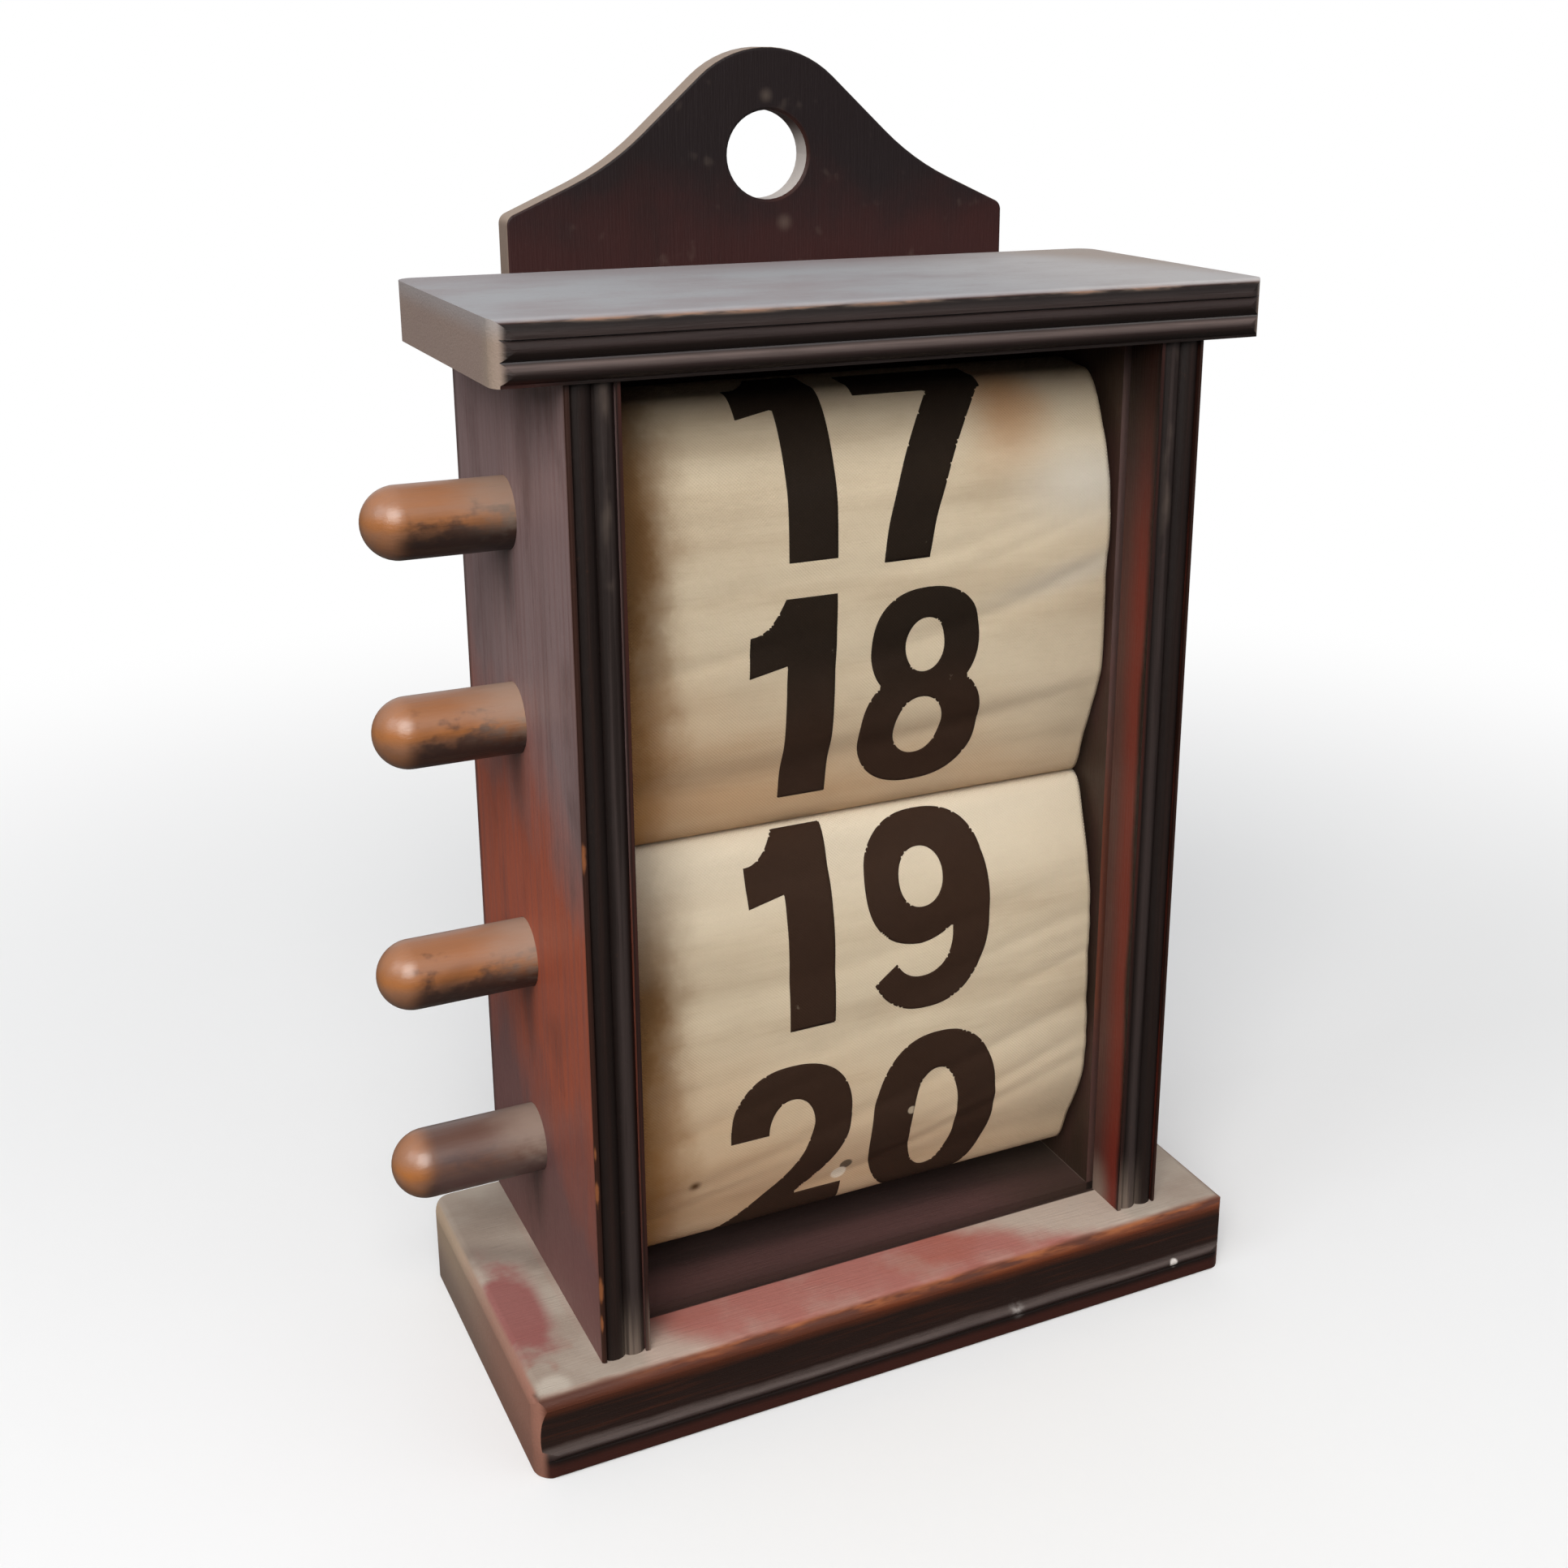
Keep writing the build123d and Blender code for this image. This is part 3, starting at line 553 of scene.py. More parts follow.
def side_panel_finish(node):
    """Side panel: faded plum outside, partly painted sheen, turning red-brown lower down, with
    painted shade below the knobs; dark reeded front with painted highlights on the reeds and a
    chipped edge; brick red strip before the glass, dimmed deeper in and under the cap as painted
    shade; and a dusty dark inside, partly painted shade."""
    name = node.replace("_panel", "_mahogany")
    f, spot, (x, y, z), (aside, forward, _), (figure, pores) = board(name, 2)
    low, high = corners(node)
    middle = (low[0] + high[0]) / 2
    outward = -1 if middle < 0 else 1
    front, rear = low[1], high[1]
    glass_front, glass_back = (corner[1] for corner in corners("glass_pane"))
    clouds = f.noise(spot, (0.05, 0.06, 0.03), 5, 0.55, offset=9)
    specks = f.noise(spot, (0.7, 0.7, 0.7), 2, offset=21)
    streaks = f.noise(spot, (0.9, 0.9, 0.018), 3, 0.6, offset=6)

    # Plum above, laid on partly as painted sheen; red-brown lower down.
    outer_tone = f.tones(
        z + (clouds - 0.5) * 55 - (y - front) * 0.25, (14, "foot_wood"), (34, "foot_wood"),
        (58, "red_wood"), (96, "red_wood"), (124, "plum_and_sheen_wood"), (190, "plum_and_sheen_wood"),
    )
    shade = clouds.rise(0.52, 0.75) * 0.45 + figure.rise(0.5, 0.8) * 0.25
    outer_tone = f.mix(outer_tone, "shade_wood", shade)
    if outward < 0:
        # Painted shade below the knobs.
        runs = f.marks(
            f.stretched(spot, (0, 1, 0.35)),
            *(((0, axis_y + 1, (axis_z - 9) * 0.35), 6) for axis_y, axis_z in AXES.values()),
        )
        outer_tone = f.mix(outer_tone, "dark_stain_and_shade", runs * 0.5)
    outer_tone = f.mix(
        outer_tone,
        "foot_wood", streaks.rise(0.42, 0.66) * 0.35,
        "shade_wood", pores.rise(0.55, 0.8) * 0.35,
    )
    edge_line = y.rise(rear - 2.4, rear - 0.4).most(y.fall(front + 0.2, front + 1))
    outer_tone = f.mix(outer_tone, "shade_wood", edge_line * 0.7)

    # Inside behind the glass: dark brown with olive dirt, partly painted shade. Before the glass:
    # brick red, dimmed deeper in as painted shade.
    deep = f.mix("shade_wood", "olive_dirt", clouds.rise(0.35, 0.6) * 0.8)
    strip = f.tones(
        y + (clouds - 0.5) * 3, (front + 0.4, "dark_stain_and_shade"), (front + 1.8, "brick_wood"),
        (front + 3.4, "brick_wood"), (front + 7.4, "strip_shade_wood"), (glass_front, "strip_shade_wood"),
    )
    strip = f.mix(
        strip,
        # Darker towards the top: painted shade under the cap.
        "dark_stain_and_shade", z.rise(140, 186) * 0.85 + pores * 0.15,
        "warm_dust", z.fall(17, 27) * (front + 4 - y).fall(-4, 2) * 0.6,
    )
    inner_tone = f.mix(strip, deep, y.rise(glass_front, glass_back))
    f.tone = f.mix(inner_tone, outer_tone, (aside * outward).rise(-0.2, 0.3))

    across = (x - middle) * outward
    # Across the stile's front: painted highlights on the reeds, between painted shade in the
    # grooves.
    reed_light_and_shade = f.tones(
        across, (-4.5, "fascia_wood"), (-4.1, "fascia_wood"), (-3.7, "dark_stain_and_shade"),
        (-3.2, "dark_stain_and_shade"), (-2.3, "reed_stain_and_highlight"), (-1.3, "reed_stain_and_highlight"), (-0.4, "dark_stain_and_shade"),
        (0.6, "dark_stain_and_shade"), (1.8, "cove_wood"), (3, "dark_stain_and_shade"),
    )
    reed_light_and_shade = f.mix(reed_light_and_shade, "dark_stain_and_shade", streaks.rise(0.42, 0.66) * 0.7)
    blobs = f.noise(spot, (0.3, 0.3, 0.14), 2, offset=33)
    high_up = z.rise(148, 162) * across.near(-1.8, 1.6)
    reed_light_and_shade = f.mix(reed_light_and_shade, "warm_dust", blobs.rise(0.45, 0.75) * high_up * 0.14)
    foot = z.fall(16.5, 30) * across.fall(-1, 1.5) * (0.3 + 0.7 * streaks.rise(0.4, 0.6))
    reed_light_and_shade = f.mix(reed_light_and_shade, "warm_dust", foot * 0.45)
    f.coat(reed_light_and_shade, (-forward).rise(0.05, 0.35) * y.fall(front + 2, front + 2.6))
    edge = (low[0] if outward < 0 else high[0], front)
    size = 1 if outward < 0 else 0.5
    chips = f.marks(
        f.stretched(spot, (1, 1, 0.22)),
        *(((*edge, height * 0.22), reach * size) for height, reach in CHIPS),
    )
    f.coat("bare_wood", (chips + (specks - 0.5) * 0.6).rise(0.1, 0.7) * 0.5)
    f.coat(raw_wood(f, figure, pores, clouds), forward.rise(0.5, 0.85))
    rub = (across - 3.6).near(0.6, 1) * (0.5 + 0.5 * streaks) * y.fall(front + 0.9, front + 1.6)
    f.coat("burnt_wood", rub * 0.2)
    f.coat("dark_stain_and_shade", pores.rise(0.6, 0.8) * 0.3)
    rough = 0.46 + 0.2 * (clouds - 0.5) + 0.1 * specks
    return f.done(pores * 0.6 + figure * 0.2 + specks * 0.2, 0.00016, rough)


# Chips along the outer front edge of the side panels: height and reach in millimetres.
CHIPS = ((113, 1), (58.4, 0.6), (50.6, 0.9), (31, 1), (24, 0.7))


def back_board_finish():
    """Back board: very dark maroon, redder lower down, with faint grey spots, paler sawn
    edges and a worn crescent in the hole."""
    f, spot, (x, _, z), (_, forward, up), (figure, pores) = board("back_mahogany", 2, 0.25)
    cap_top = corners("cap_board")[1][2]
    front = corners("back_board")[0][1]
    clouds = f.noise(spot, (0.06, 0.06, 0.06), 4, 0.6, offset=13)
    specks = f.noise(spot, (0.22, 0.22, 0.22), 2, 0.5, offset=31)
    redder = (z - cap_top + (clouds - 0.5) * 26).fall(2, 20)
    f.tone = f.mix("back_wood", "brick_wood", redder * 0.14)
    f.coat("dark_stain_and_shade", figure.rise(0.5, 0.8) * 0.4)
    f.coat("warm_dust", specks.rise(0.62, 0.78) * 0.07)
    marks = f.marks(spot, ((-0.3, front, HOLE_Z + 10.6), 1.8), ((3.2, front, HOLE_Z - 12.2), 2.2))
    f.coat("warm_dust", marks * (0.05 + 0.2 * clouds))
    f.coat(raw_wood(f, figure, pores, clouds), forward.rise(0.5, 0.85))
    gap = f.vector("DISTANCE", f.stretched(spot, (1, 0, 1)), (0, 0, HOLE_Z), output="Value")
    in_hole = gap.fall(HOLE_R + 0.3, HOLE_R + 0.6)
    crescent = (x * 0.8 - (z - HOLE_Z) * 0.6).rise(0.5, 6)
    wall = f.mix("shade_wood", "pale_wear_and_reflection", crescent * (0.6 + 0.3 * clouds))
    sawn = f.mix("shade_wood", "warm_dust", 0.5 + 0.4 * clouds + 0.3 * up.rise(0.1, 0.6))
    rim = f.mix(sawn, wall, in_hole)
    f.coat(rim, abs(forward).fall(0.35, 0.7))
    f.coat("burnt_wood", (gap - HOLE_R).near(0, 0.8) * x.rise(-2, 5) * 0.25 * abs(forward))
    f.coat("dark_stain_and_shade", pores.rise(0.6, 0.8) * 0.3)
    return f.done(pores * 0.6 + figure * 0.2 + specks * 0.2, 0.0002, 0.5 + 0.2 * (clouds - 0.5))


def dowel_finish(node, darkness):
    """Dowel: honey wood, mottled dark by handling except at its tip, more so lower down, with an
    uneven dusty collar where it enters the case. Light and shade are painted by height: an amber
    band high on the side and painted shade on the underside."""
    f = Finish(node + "_wood", specular_ior_level=0.5, coat_roughness=0.26)
    spot = f.place()
    x, _, z = f.parts(spot)
    low, high = corners(node)
    tip = low[0]
    axis = (low[2] + high[2]) / 2
    wall = corners("left_side_panel")[0][0]
    figure, pores = grain(f, spot, 0)
    mottle = f.noise(spot, (0.13, 0.26, 0.26), 3, 0.5, offset=low[2])
    blotch = f.noise(spot, (0.5, 0.7, 0.7), 2, 0.5, offset=low[2] + 5)
    height = (z - axis) / (high[2] - axis)
    handled = (x - tip).rise(3.5, 8)
    # Handling dirt, laid on more heavily lower down as painted shade.
    dirt = (mottle + 0.5 * (blotch - 0.5) - 0.36 * height).rise(0.34, 0.66) * handled
    # Amber grain, and an amber band high on the side as painted light.
    streaks = figure.rise(0.35, 0.65) * 0.35 + height.near(0.15, 0.35) * 0.55
    f.tone = f.mix("honey", "amber", streaks)
    f.coat("dark_honey", dirt * 0.9)
    # Painted shade on the underside.
    under = (height + (mottle - 0.5) * 0.9).fall(-0.7, 0.5)
    f.coat("dark_stain_and_shade", under * (0.4 + 0.58 * handled))
    f.coat("dull_wood", darkness * handled)
    collar = (x + (mottle - 0.5) * 8 + height * 2.4).rise(wall - 12, wall + 1)
    dusty = collar * (height + (blotch - 0.5) * 1.2).rise(-0.6, 0.6)
    f.coat("warm_dust", dusty * 0.62)
    f.coat("dark_stain_and_shade", pores.rise(0.6, 0.85) * 0.2)
    f.set("Coat Weight", 0.45 * (1 - dusty))
    return f.done(pores * 0.4 + mottle * 0.6, 0.00015, 0.34 + 0.2 * dirt + 0.3 * dusty)


# The hanger's hole, and the distance from thread to thread of the linen, in millimetres.
HOLE_Z = 220.4
HOLE_R = 8
THREAD = 0.62


def steel_finish():
    """Dull steel with a little rust and fine scratches."""
    f = Finish("dull_steel", metallic=1)
    spot = f.place()
    rust = f.noise(spot, (0.5, 0.5, 0.5), 4, 0.65)
    scratches = f.noise(spot, (0.4, 6, 6), 2, offset=3)
    f.tone = f.mix("steel", "bare_wood", rust.rise(0.55, 0.75) * 0.5)
    return f.done(scratches, 0.00004, 0.35 + 0.4 * rust)


def peg_finish():
    """Plain dowel pegs, pale and dry."""
    f = Finish("peg_wood", specular_ior_level=0.3)
    figure, pores = grain(f, f.place(), 2)
    f.tone = f.mix("honey", "bare_wood", figure)
    return f.done(pores, 0.0001, 0.6 + 0.2 * pores)


def glass_finish():
    """Clear glass: nearly see-through, with a thin haze that gathers along the edges."""
    f = Finish("hazy_glass", roughness=0.12, specular_ior_level=0.3)
    spot = f.place()
    x, _, z = f.parts(spot)
    smears = f.noise(spot, (0.03, 0.03, 0.05), 4, 0.6, distortion=0.8)
    low, high = corners("glass_pane")
    gaps = [
        (high[k] - low[k]) / 2 - abs(part - (low[k] + high[k]) / 2) for k, part in ((0, x), (2, z))
    ]
    edge = gaps[0].least(gaps[1])
    f.set("Base Color", "glass")
    f.set("Alpha", 0.004 + 0.02 * smears.rise(0.45, 0.8) + 0.09 * edge.fall(0, 2.6))
    return f.material


def linen_maths(f):
    """Gives the linen its colour before any ink. Gives back its flat place, whole and in
    parts, its clouds, and its weave and slubs for the bump."""
    flat = f.scaled(f.node("UVMap", {"uv_map": "Flat"}), 100)
    u, v, _ = f.parts(flat)
    clouds = f.noise(flat, (0.03, 0.05, 1), 5, 0.6)
    tan = f.noise(flat, (0.012, 0.11, 1), 4, 0.55, offset=4)
    ragged = f.noise(flat, (0.1, 0.08, 1), 4, 0.6, offset=12)
    warp, weft = ((part * (2 * math.pi / THREAD)).sine() for part in (u, v))
    slubs = f.noise(flat, (0.25, 3, 1), 2, offset=9)
    weave = warp * weft * 0.5 + 0.5
    dirt = 0.03 + 0.2 * clouds.rise(0.45, 0.8) + 0.2 * tan.rise(0.42, 0.72)
    f.tone = f.mix("linen", "stain", dirt + (1 - weave) * 0.05 + slubs.rise(0.5, 0.8) * 0.06)
    # Brown strip at the left edge: a stain, and painted shadow of the left stile.
    strip = u + (ragged - 0.5) * 11
    f.coat("stain", strip.fall(-45, -33) * 0.95)
    f.coat("tide_mark_and_shade", strip.fall(-47, -38) * 0.6)
    f.coat("tide_mark_and_shade", strip.near(-40, 3) * ragged.rise(0.4, 0.7) * 0.35)
    return flat, u, v, clouds, weave, slubs


def linen_finish(name, stains=None, roughness=0.85):
    """A linen material, with stains of its own if the band has any."""
    f = Finish(name, roughness=roughness, specular_ior_level=0.15)
    *place, weave, slubs = linen_maths(f)
    if stains:
        stains(f, *place)
    return f.done(weave * 0.6 + slubs * 0.4, 0.00012)


def upper_stains(f, flat, u, v, clouds):
    """Upper band: orange-brown towards its foot, partly painted shade where it curves away; an
    orange patch; at the right a paler patch, partly bleach and partly painted highlight, and a
    painted highlight along a ridge; warm brown painted shade along the top under the cap, darkest
    at the top left."""
    # Paler patch, partly painted highlight, and a painted highlight along a ridge.
    pale_patch_and_highlight = u.near(44, 22) * v.near(113, 12)
    ridge_highlight = (v - 95.5 - (u - 40) * 0.2).near(0, 4.5) * u.rise(18, 42)
    f.coat("cool_linen_and_highlight", (pale_patch_and_highlight * 0.8).most(ridge_highlight * 0.45))
    # Orange-brown towards the foot: rust tint, and painted shade where the band curves away.
    f.coat("rust", (v + (clouds - 0.5) * 24 + u * 0.25).fall(48, 86) * 0.55)
    patch = (u + (clouds - 0.5) * 10).near(28.5, 12) * v.near(131, 19)
    f.coat("amber", patch * (0.25 + 0.35 * clouds))
    # Rust in the patch, and warm brown painted shade along the top under the cap.
    f.coat("rust", (patch * 0.5).most(v.rise(126, 146) * 0.4))
    # Painted shade at the top left corner.
    f.coat("tide_mark_and_shade", (u * 0.8 - v * 0.6 + (clouds - 0.5) * 14).fall(-122, -106) * 0.6)


def lower_stains(f, flat, u, v, clouds):
    """Lower band: painted lighter at its top, where it faces up to the light; browner lower down
    and at the left, with one dark spot and a small torn tuft near its foot."""
    # Painted light at the top, where the band faces up.
    f.coat("pale_linen_and_highlight", (v + (clouds - 0.5) * 20).rise(108, 138) * 0.55)
    f.coat("rust", (v + (clouds - 0.5) * 30 + u * 0.35).fall(52, 100) * 0.42)
    f.coat("tide_mark_and_shade", f.spot(flat, (-35, 67.5, 0), 1.8))
    f.coat("ink", f.spot(flat, (-3, 62.4, 0), 2.2).rise(0.2, 0.5) * 0.8)
    f.coat("pale_linen_and_highlight", f.spot(flat, (-4.2, 60.2, 0), 2.4).rise(0.1, 0.4))


def ink_finish(band, brown_below):
    """Printed ink: near black, browner below a height of the flat band, with a few rubbed
    threads."""
    f = Finish(band.replace("_number_band", "_ink"), specular_ior_level=0.1)
    flat, _, v, clouds, weave, slubs = linen_maths(f)
    specks = f.noise(flat, (0.35, 0.35, 1), 3, offset=15)
    aged = (v + (clouds - 0.5) * 20).fall(brown_below - 14, brown_below + 10)
    ink = f.mix(
        "ink",
        "brown_ink", aged,
        "stain", 0.05 * clouds + 0.03 * (1 - weave),
    )
    rubbed = specks.rise(0.72, 0.8) * 0.25
    rubbed = rubbed + f.spot(flat, (9.8, 73, 0), 1.6).rise(0.3, 0.6) * 0.6
    f.tone = f.mix(ink, f.tone, rubbed)
    return f.done(weave * 0.5 + slubs * 0.5, 0.00008, 0.72 + 0.15 * clouds)


# The loose outer turn of a band round each roller, from its front over its outer side to
# its tail: angles in degrees and, for each roller, the radii at them in millimetres.
TURN_ANGLES = (0, 35, 60, 90, 135, 180, 205)
REAR_RADII = (19.65, 18.95, 18.45, 18.3)
TURN_RADII = {
    "upper_top_roller": (22.75, 22.75, 22.4) + REAR_RADII,
    "upper_bottom_roller": (21.05, 21.75, 25.69) + REAR_RADII,
    "lower_top_roller": (21.95, 23.35, 25.69) + REAR_RADII,
    "lower_bottom_roller": (21.35, 21.55, 24.36) + REAR_RADII,
}
# Where a turn bulges most, as its place among the angles.
LEVEL_PLACE = 2
# Points of the path from one turn point to the next, half the length in millimetres over
# which its direction is measured, and mesh lines round and across the stored turns.
RUN_POINTS = 200
WAY_REACH = 0.4
TURN_LINES = 48
CROSS_LINES = 6
# Clearance between the linen and its dowel or its ink, in millimetres.
CLEARANCE = 0.02

# Soft creases of each band: middle across and along the flat band, length, width and depth
# in millimetres, and slope. A positive depth sinks towards the rollers.
CREASES = {
    "upper_number_band": (
        (34, 113, 46, 4, 0.8, 0.12), (20, 104, 60, 2.2, 0.5, 0.16), (30, 97, 54, 3.2, -0.25, 0.18),
        (26, 90, 60, 2.4, 0.65, 0.16), (-10, 74, 110, 3.6, -0.3, 0.02),
        (0, 66, 120, 3.4, 0.9, 0.03), (-22, 100, 40, 2, 0.35, 0.05),
        (8, 121, 60, 5, 0.5, -0.03), (42, 96, 22, 1.6, 0.45, 0.3),
        (38, 71, 44, 2, 0.45, 0.08), (36, 104, 26, 1.4, 0.35, 0.24), (-28, 88, 30, 1.6, 0.35, 0.1),
        (-34, 112, 24, 2, 0.3, -0.06), (40, 122, 30, 3, 0.4, 0.1),
    ),
    "lower_number_band": (
        (0, 128, 100, 3, 0.45, 0.05), (24, 112, 60, 2, 0.4, 0.14), (30, 104, 60, 1.8, 0.5, 0.16),
        (20, 99, 80, 1.6, 0.4, 0.1), (-24, 106, 40, 2.4, 0.3, 0.04), (0, 93, 110, 2.4, 0.5, 0.09),
        (32, 84, 50, 2, 0.6, 0.22), (-20, 70, 50, 2, 0.45, 0.2), (24, 68, 60, 1.8, 0.5, 0.26),
        (-26, 82, 40, 1.8, 0.35, 0.16), (40, 97, 30, 1.5, 0.4, 0.24), (34, 76, 40, 1.6, 0.45, 0.28),
        (-36, 62, 30, 1.6, 0.35, 0.18), (-30, 118, 40, 2.6, 0.25, 0.02),
    ),
}


def turn_points(roller, side):
    """Points of the loose turn round a roller. Each lies on a ray from the axis, turned by
    its angle from the front; side is 1 over the top and -1 under the foot."""
    centre_y, centre_z = AXES[roller]
    angles = np.radians(TURN_ANGLES)
    radii = np.array(TURN_RADII[roller])
    y, z = centre_y - radii * np.cos(angles), centre_z + side * radii * np.sin(angles)
    return np.stack([y, z], 1)


class Fold:
    """The path of a band in the side view, as a function of the length from its lower end:
    cubic Hermite runs between the turn points, whose directions follow their neighbours'
    chord, and lie level where the turns bulge most."""

    def __init__(self, top, bottom):
        points = np.concatenate([turn_points(bottom, -1)[::-1], turn_points(top, 1)])
        ways = np.empty_like(points)
        ways[1:-1] = points[2:] - points[:-2]
        ways[0] = points[1] - points[0]
        ways[-1] = points[-1] - points[-2]
        count = len(TURN_ANGLES)
        ways[count - 1 - LEVEL_PLACE] = (-1, 0)
        ways[count + LEVEL_PLACE] = (1, 0)
        ways /= np.linalg.norm(ways, axis=1)[:, None]
        t = np.linspace(0, 1, RUN_POINTS)[:, None, None]
        chord = np.linalg.norm(np.diff(points, axis=0), axis=1)[:, None]
        path = (
            (2 * t**3 - 3 * t**2 + 1) * points[:-1]
            + (t**3 - 2 * t**2 + t) * chord * ways[:-1]
            + (3 * t**2 - 2 * t**3) * points[1:]
            + (t**3 - t**2) * chord * ways[1:]
        )
        path = path.transpose(1, 0, 2).reshape(-1, 2)
        steps = np.linalg.norm(np.diff(path, axis=0), axis=1)
        keep = np.r_[True, steps > 1e-9]
        self.path = path[keep]
        self.lengths = np.r_[0, np.cumsum(steps[steps > 1e-9])]
        self.total = float(self.lengths[-1])

    def at(self, v):
        """Y and Z at a length v, and the way out of the loop there: the path's direction,
        from a point before to a point after, turned by a right angle."""
        def point(w):
            return np.stack([np.interp(w, self.lengths, self.path[:, k]) for k in (0, 1)], -1)

        before, after = (np.clip(v + reach, 0, self.total) for reach in (-WAY_REACH, WAY_REACH))
        way = point(after) - point(before)
        way /= np.linalg.norm(way, axis=-1)[..., None]
        return point(v), np.stack([-way[..., 1], way[..., 0]], -1)


def crease_height(band, u, v):
    """How far the linen sinks at a flat point, in millimetres: a sum of creases, each a
    bell curve across its line and a wider bell along it, and a slow undulation. It dies
    out towards both ends of the band, where the stored turns lie close behind."""
    fold = FOLDS[band]
    depth = 0.22 + 0.22 * np.sin(u / 17 + v / 31) * np.sin(v / 23 - u / 41 + 1)
    for mid_u, mid_v, reach, width, deep, slope in CREASES[band]:
        along = (u - mid_u) + slope * (v - mid_v)
        across = (v - mid_v) - slope * (u - mid_u) - 1.2 * np.sin((u - mid_u) / 19)
        depth = depth + deep * np.exp(-((across / width) ** 2) - (along / (reach / 1.6)) ** 2)
    ends = np.clip((v - 42) / 16, 0, 1) * np.clip((fold.total - 44 - v) / 10, 0, 1)
    ends = ends * ends * (3 - 2 * ends)
    return np.maximum(depth, 0) * ends * bpy.context.scene.calendar_linen.crease_depth


def linen_point(band, u, v, lift=0):
    """The place of flat point (u, v) of a band in metres: across the case at u, on the
    fold at length v, sunk by the creases and lifted by a distance, both square to it."""
    place, out = FOLDS[band].at(v)
    sunk = lift - crease_height(band, u, v)
    place = place + out * sunk[..., None]
    return np.stack([u, place[..., 0], place[..., 1]], -1) * MM


def quads_of(rows, columns):
    """Corner numbers of the quads over a grid of points, row by row."""
    index = np.arange(rows * columns).reshape(rows, columns)
    sides = [index[:-1, :-1], index[:-1, 1:], index[1:, 1:], index[1:, :-1]]
    return np.stack(sides, -1).reshape(-1, 4)


def surface(name, points, flat, quads=None):
    """A mesh object from points and their flat places, which in tenths of a metre are its UV
    map. Points that come in rows and columns are joined to quads here."""
    if quads is None:
        quads = quads_of(*points.shape[:2])
        points, flat = points.reshape(-1, 3), flat.reshape(-1, 2)
    mesh = bpy.data.meshes.new(name)
    mesh.vertices.add(len(points))
    mesh.vertices.foreach_set("co", points.astype(np.float32).ravel())
    mesh.loops.add(quads.size)
    mesh.loops.foreach_set("vertex_index", quads.astype(np.int32).ravel())
    mesh.polygons.add(len(quads))
    mesh.polygons.foreach_set("loop_start", np.arange(0, quads.size, 4, dtype=np.int32))
    mesh.update(calc_edges=True)
    layer = mesh.uv_layers.new(name="Flat")
    layer.data.foreach_set("uv", (flat[quads.ravel()] / 100).astype(np.float32).ravel())
    mesh.polygons.foreach_set("use_smooth", np.ones(len(quads), bool))
    mesh.validate()
    item = bpy.data.objects.new(name, mesh)
    bpy.context.scene.collection.objects.link(item)
    return item


def lay(item, finish, thickness, body):
    """Gives a sheet its material and its body, and closes it with a Solidify modifier of
    this thickness, half on each side."""
    item.data.materials.append(finish)
    shell = item.modifiers.new("Thickness", "SOLIDIFY")
    shell.thickness = thickness
    shell.offset = 0
    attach(item, body)


def edge_wander(v):
    """How the linen's right edge strays along the band: two slow sines."""
    return 0.6 * np.sin(v / 11 + 0.5) + 0.4 * np.sin(v / 5.3)


def number_band(band):
    """One visible sheet: a grid over its flat width and length, put on the fold."""
    sizes = bpy.context.scene.calendar_linen
    fold = FOLDS[band]
    spacing = sizes.spacing / MM
    left, right = sizes.left_edge / MM, sizes.right_edge / MM
    columns = int((right - left) / spacing) + 1
    rows = int(fold.total / spacing) + 1
    t = np.linspace(0, 1, columns)[None, :]
    v = np.repeat(np.linspace(0, fold.total, rows)[:, None], columns, 1)
    u = left + (right - left + edge_wander(v) * sizes.edge_wander / MM) * t
    return surface(band + "_linen", linen_point(band, u, v), np.stack([u, v], -1))


def wound_linen(roller):
    """The stored turns: a spiral whose radius grows by the pitch each turn, from the dowel
    to the stored radius, carried straight across the case."""
    sizes = bpy.context.scene.calendar_linen
    centre_y, centre_z = AXES[roller]
    low, high = corners(roller + "_winding")
    dowel = corners(roller + "_dowel")[1][2] - centre_z
    start = dowel + sizes.stored_thickness / MM / 2 + CLEARANCE
    end = sizes.stored_radius / MM - sizes.stored_thickness / MM / 2
    pitch = sizes.stored_pitch / MM
    turns = (end - start) / pitch
    rows = int(turns * TURN_LINES) + 1
    theta = np.linspace(0, turns * 2 * math.pi, rows)[:, None]
    radius = start + pitch * theta / (2 * math.pi)
    u = np.linspace(low[0], high[0], CROSS_LINES)[None, :]
    run = start * theta + pitch * theta**2 / (4 * math.pi)
    y, z = centre_y - radius * np.cos(theta), centre_z + radius * np.sin(theta)
    points = np.stack(np.broadcast_arrays(u, y, z), -1) * MM
    flat = np.stack(np.broadcast_arrays(u, run), -1)
    item = surface(roller + "_wound_linen", points, flat)
    return item, float(run[-1, 0]) * MM, (high[0] - low[0]) * MM


def oval(u, v, centre_u, centre_v, reach_u, reach_v, power=2.35):
    """Below 0 inside a rounded oval: the sum of both distances' shares of its reaches, each
    to a power, has a root under 1 there."""
    total = np.abs((u - centre_u) / reach_u) ** power + np.abs((v - centre_v) / reach_v) ** power
    return (total ** (1 / power) - 1) * min(reach_u, reach_v)


def box_area(u, v, left, right, bottom, top):
    """Below 0 inside an upright rectangle: the largest of the four signed distances."""
    return np.maximum.reduce([left - u, u - right, bottom - v, v - top])


def figure_one(u, v, height):
    """A stem, and a flag whose upper side falls from the stem's top in a hollow curve."""
    stem = box_area(u, v, -16.4, -7.1, 0, height)
    hollow = v - height + 6.2 - 6.2 * (np.clip(u + 23.6, 0, 6.7) / 6.7) ** 2.2
    below = 25.4 + 0.22 * (u + 23.6) - v
    flag = np.maximum.reduce([hollow * 0.7, below, -23.6 - u, u + 12])
    return np.minimum(stem, flag)


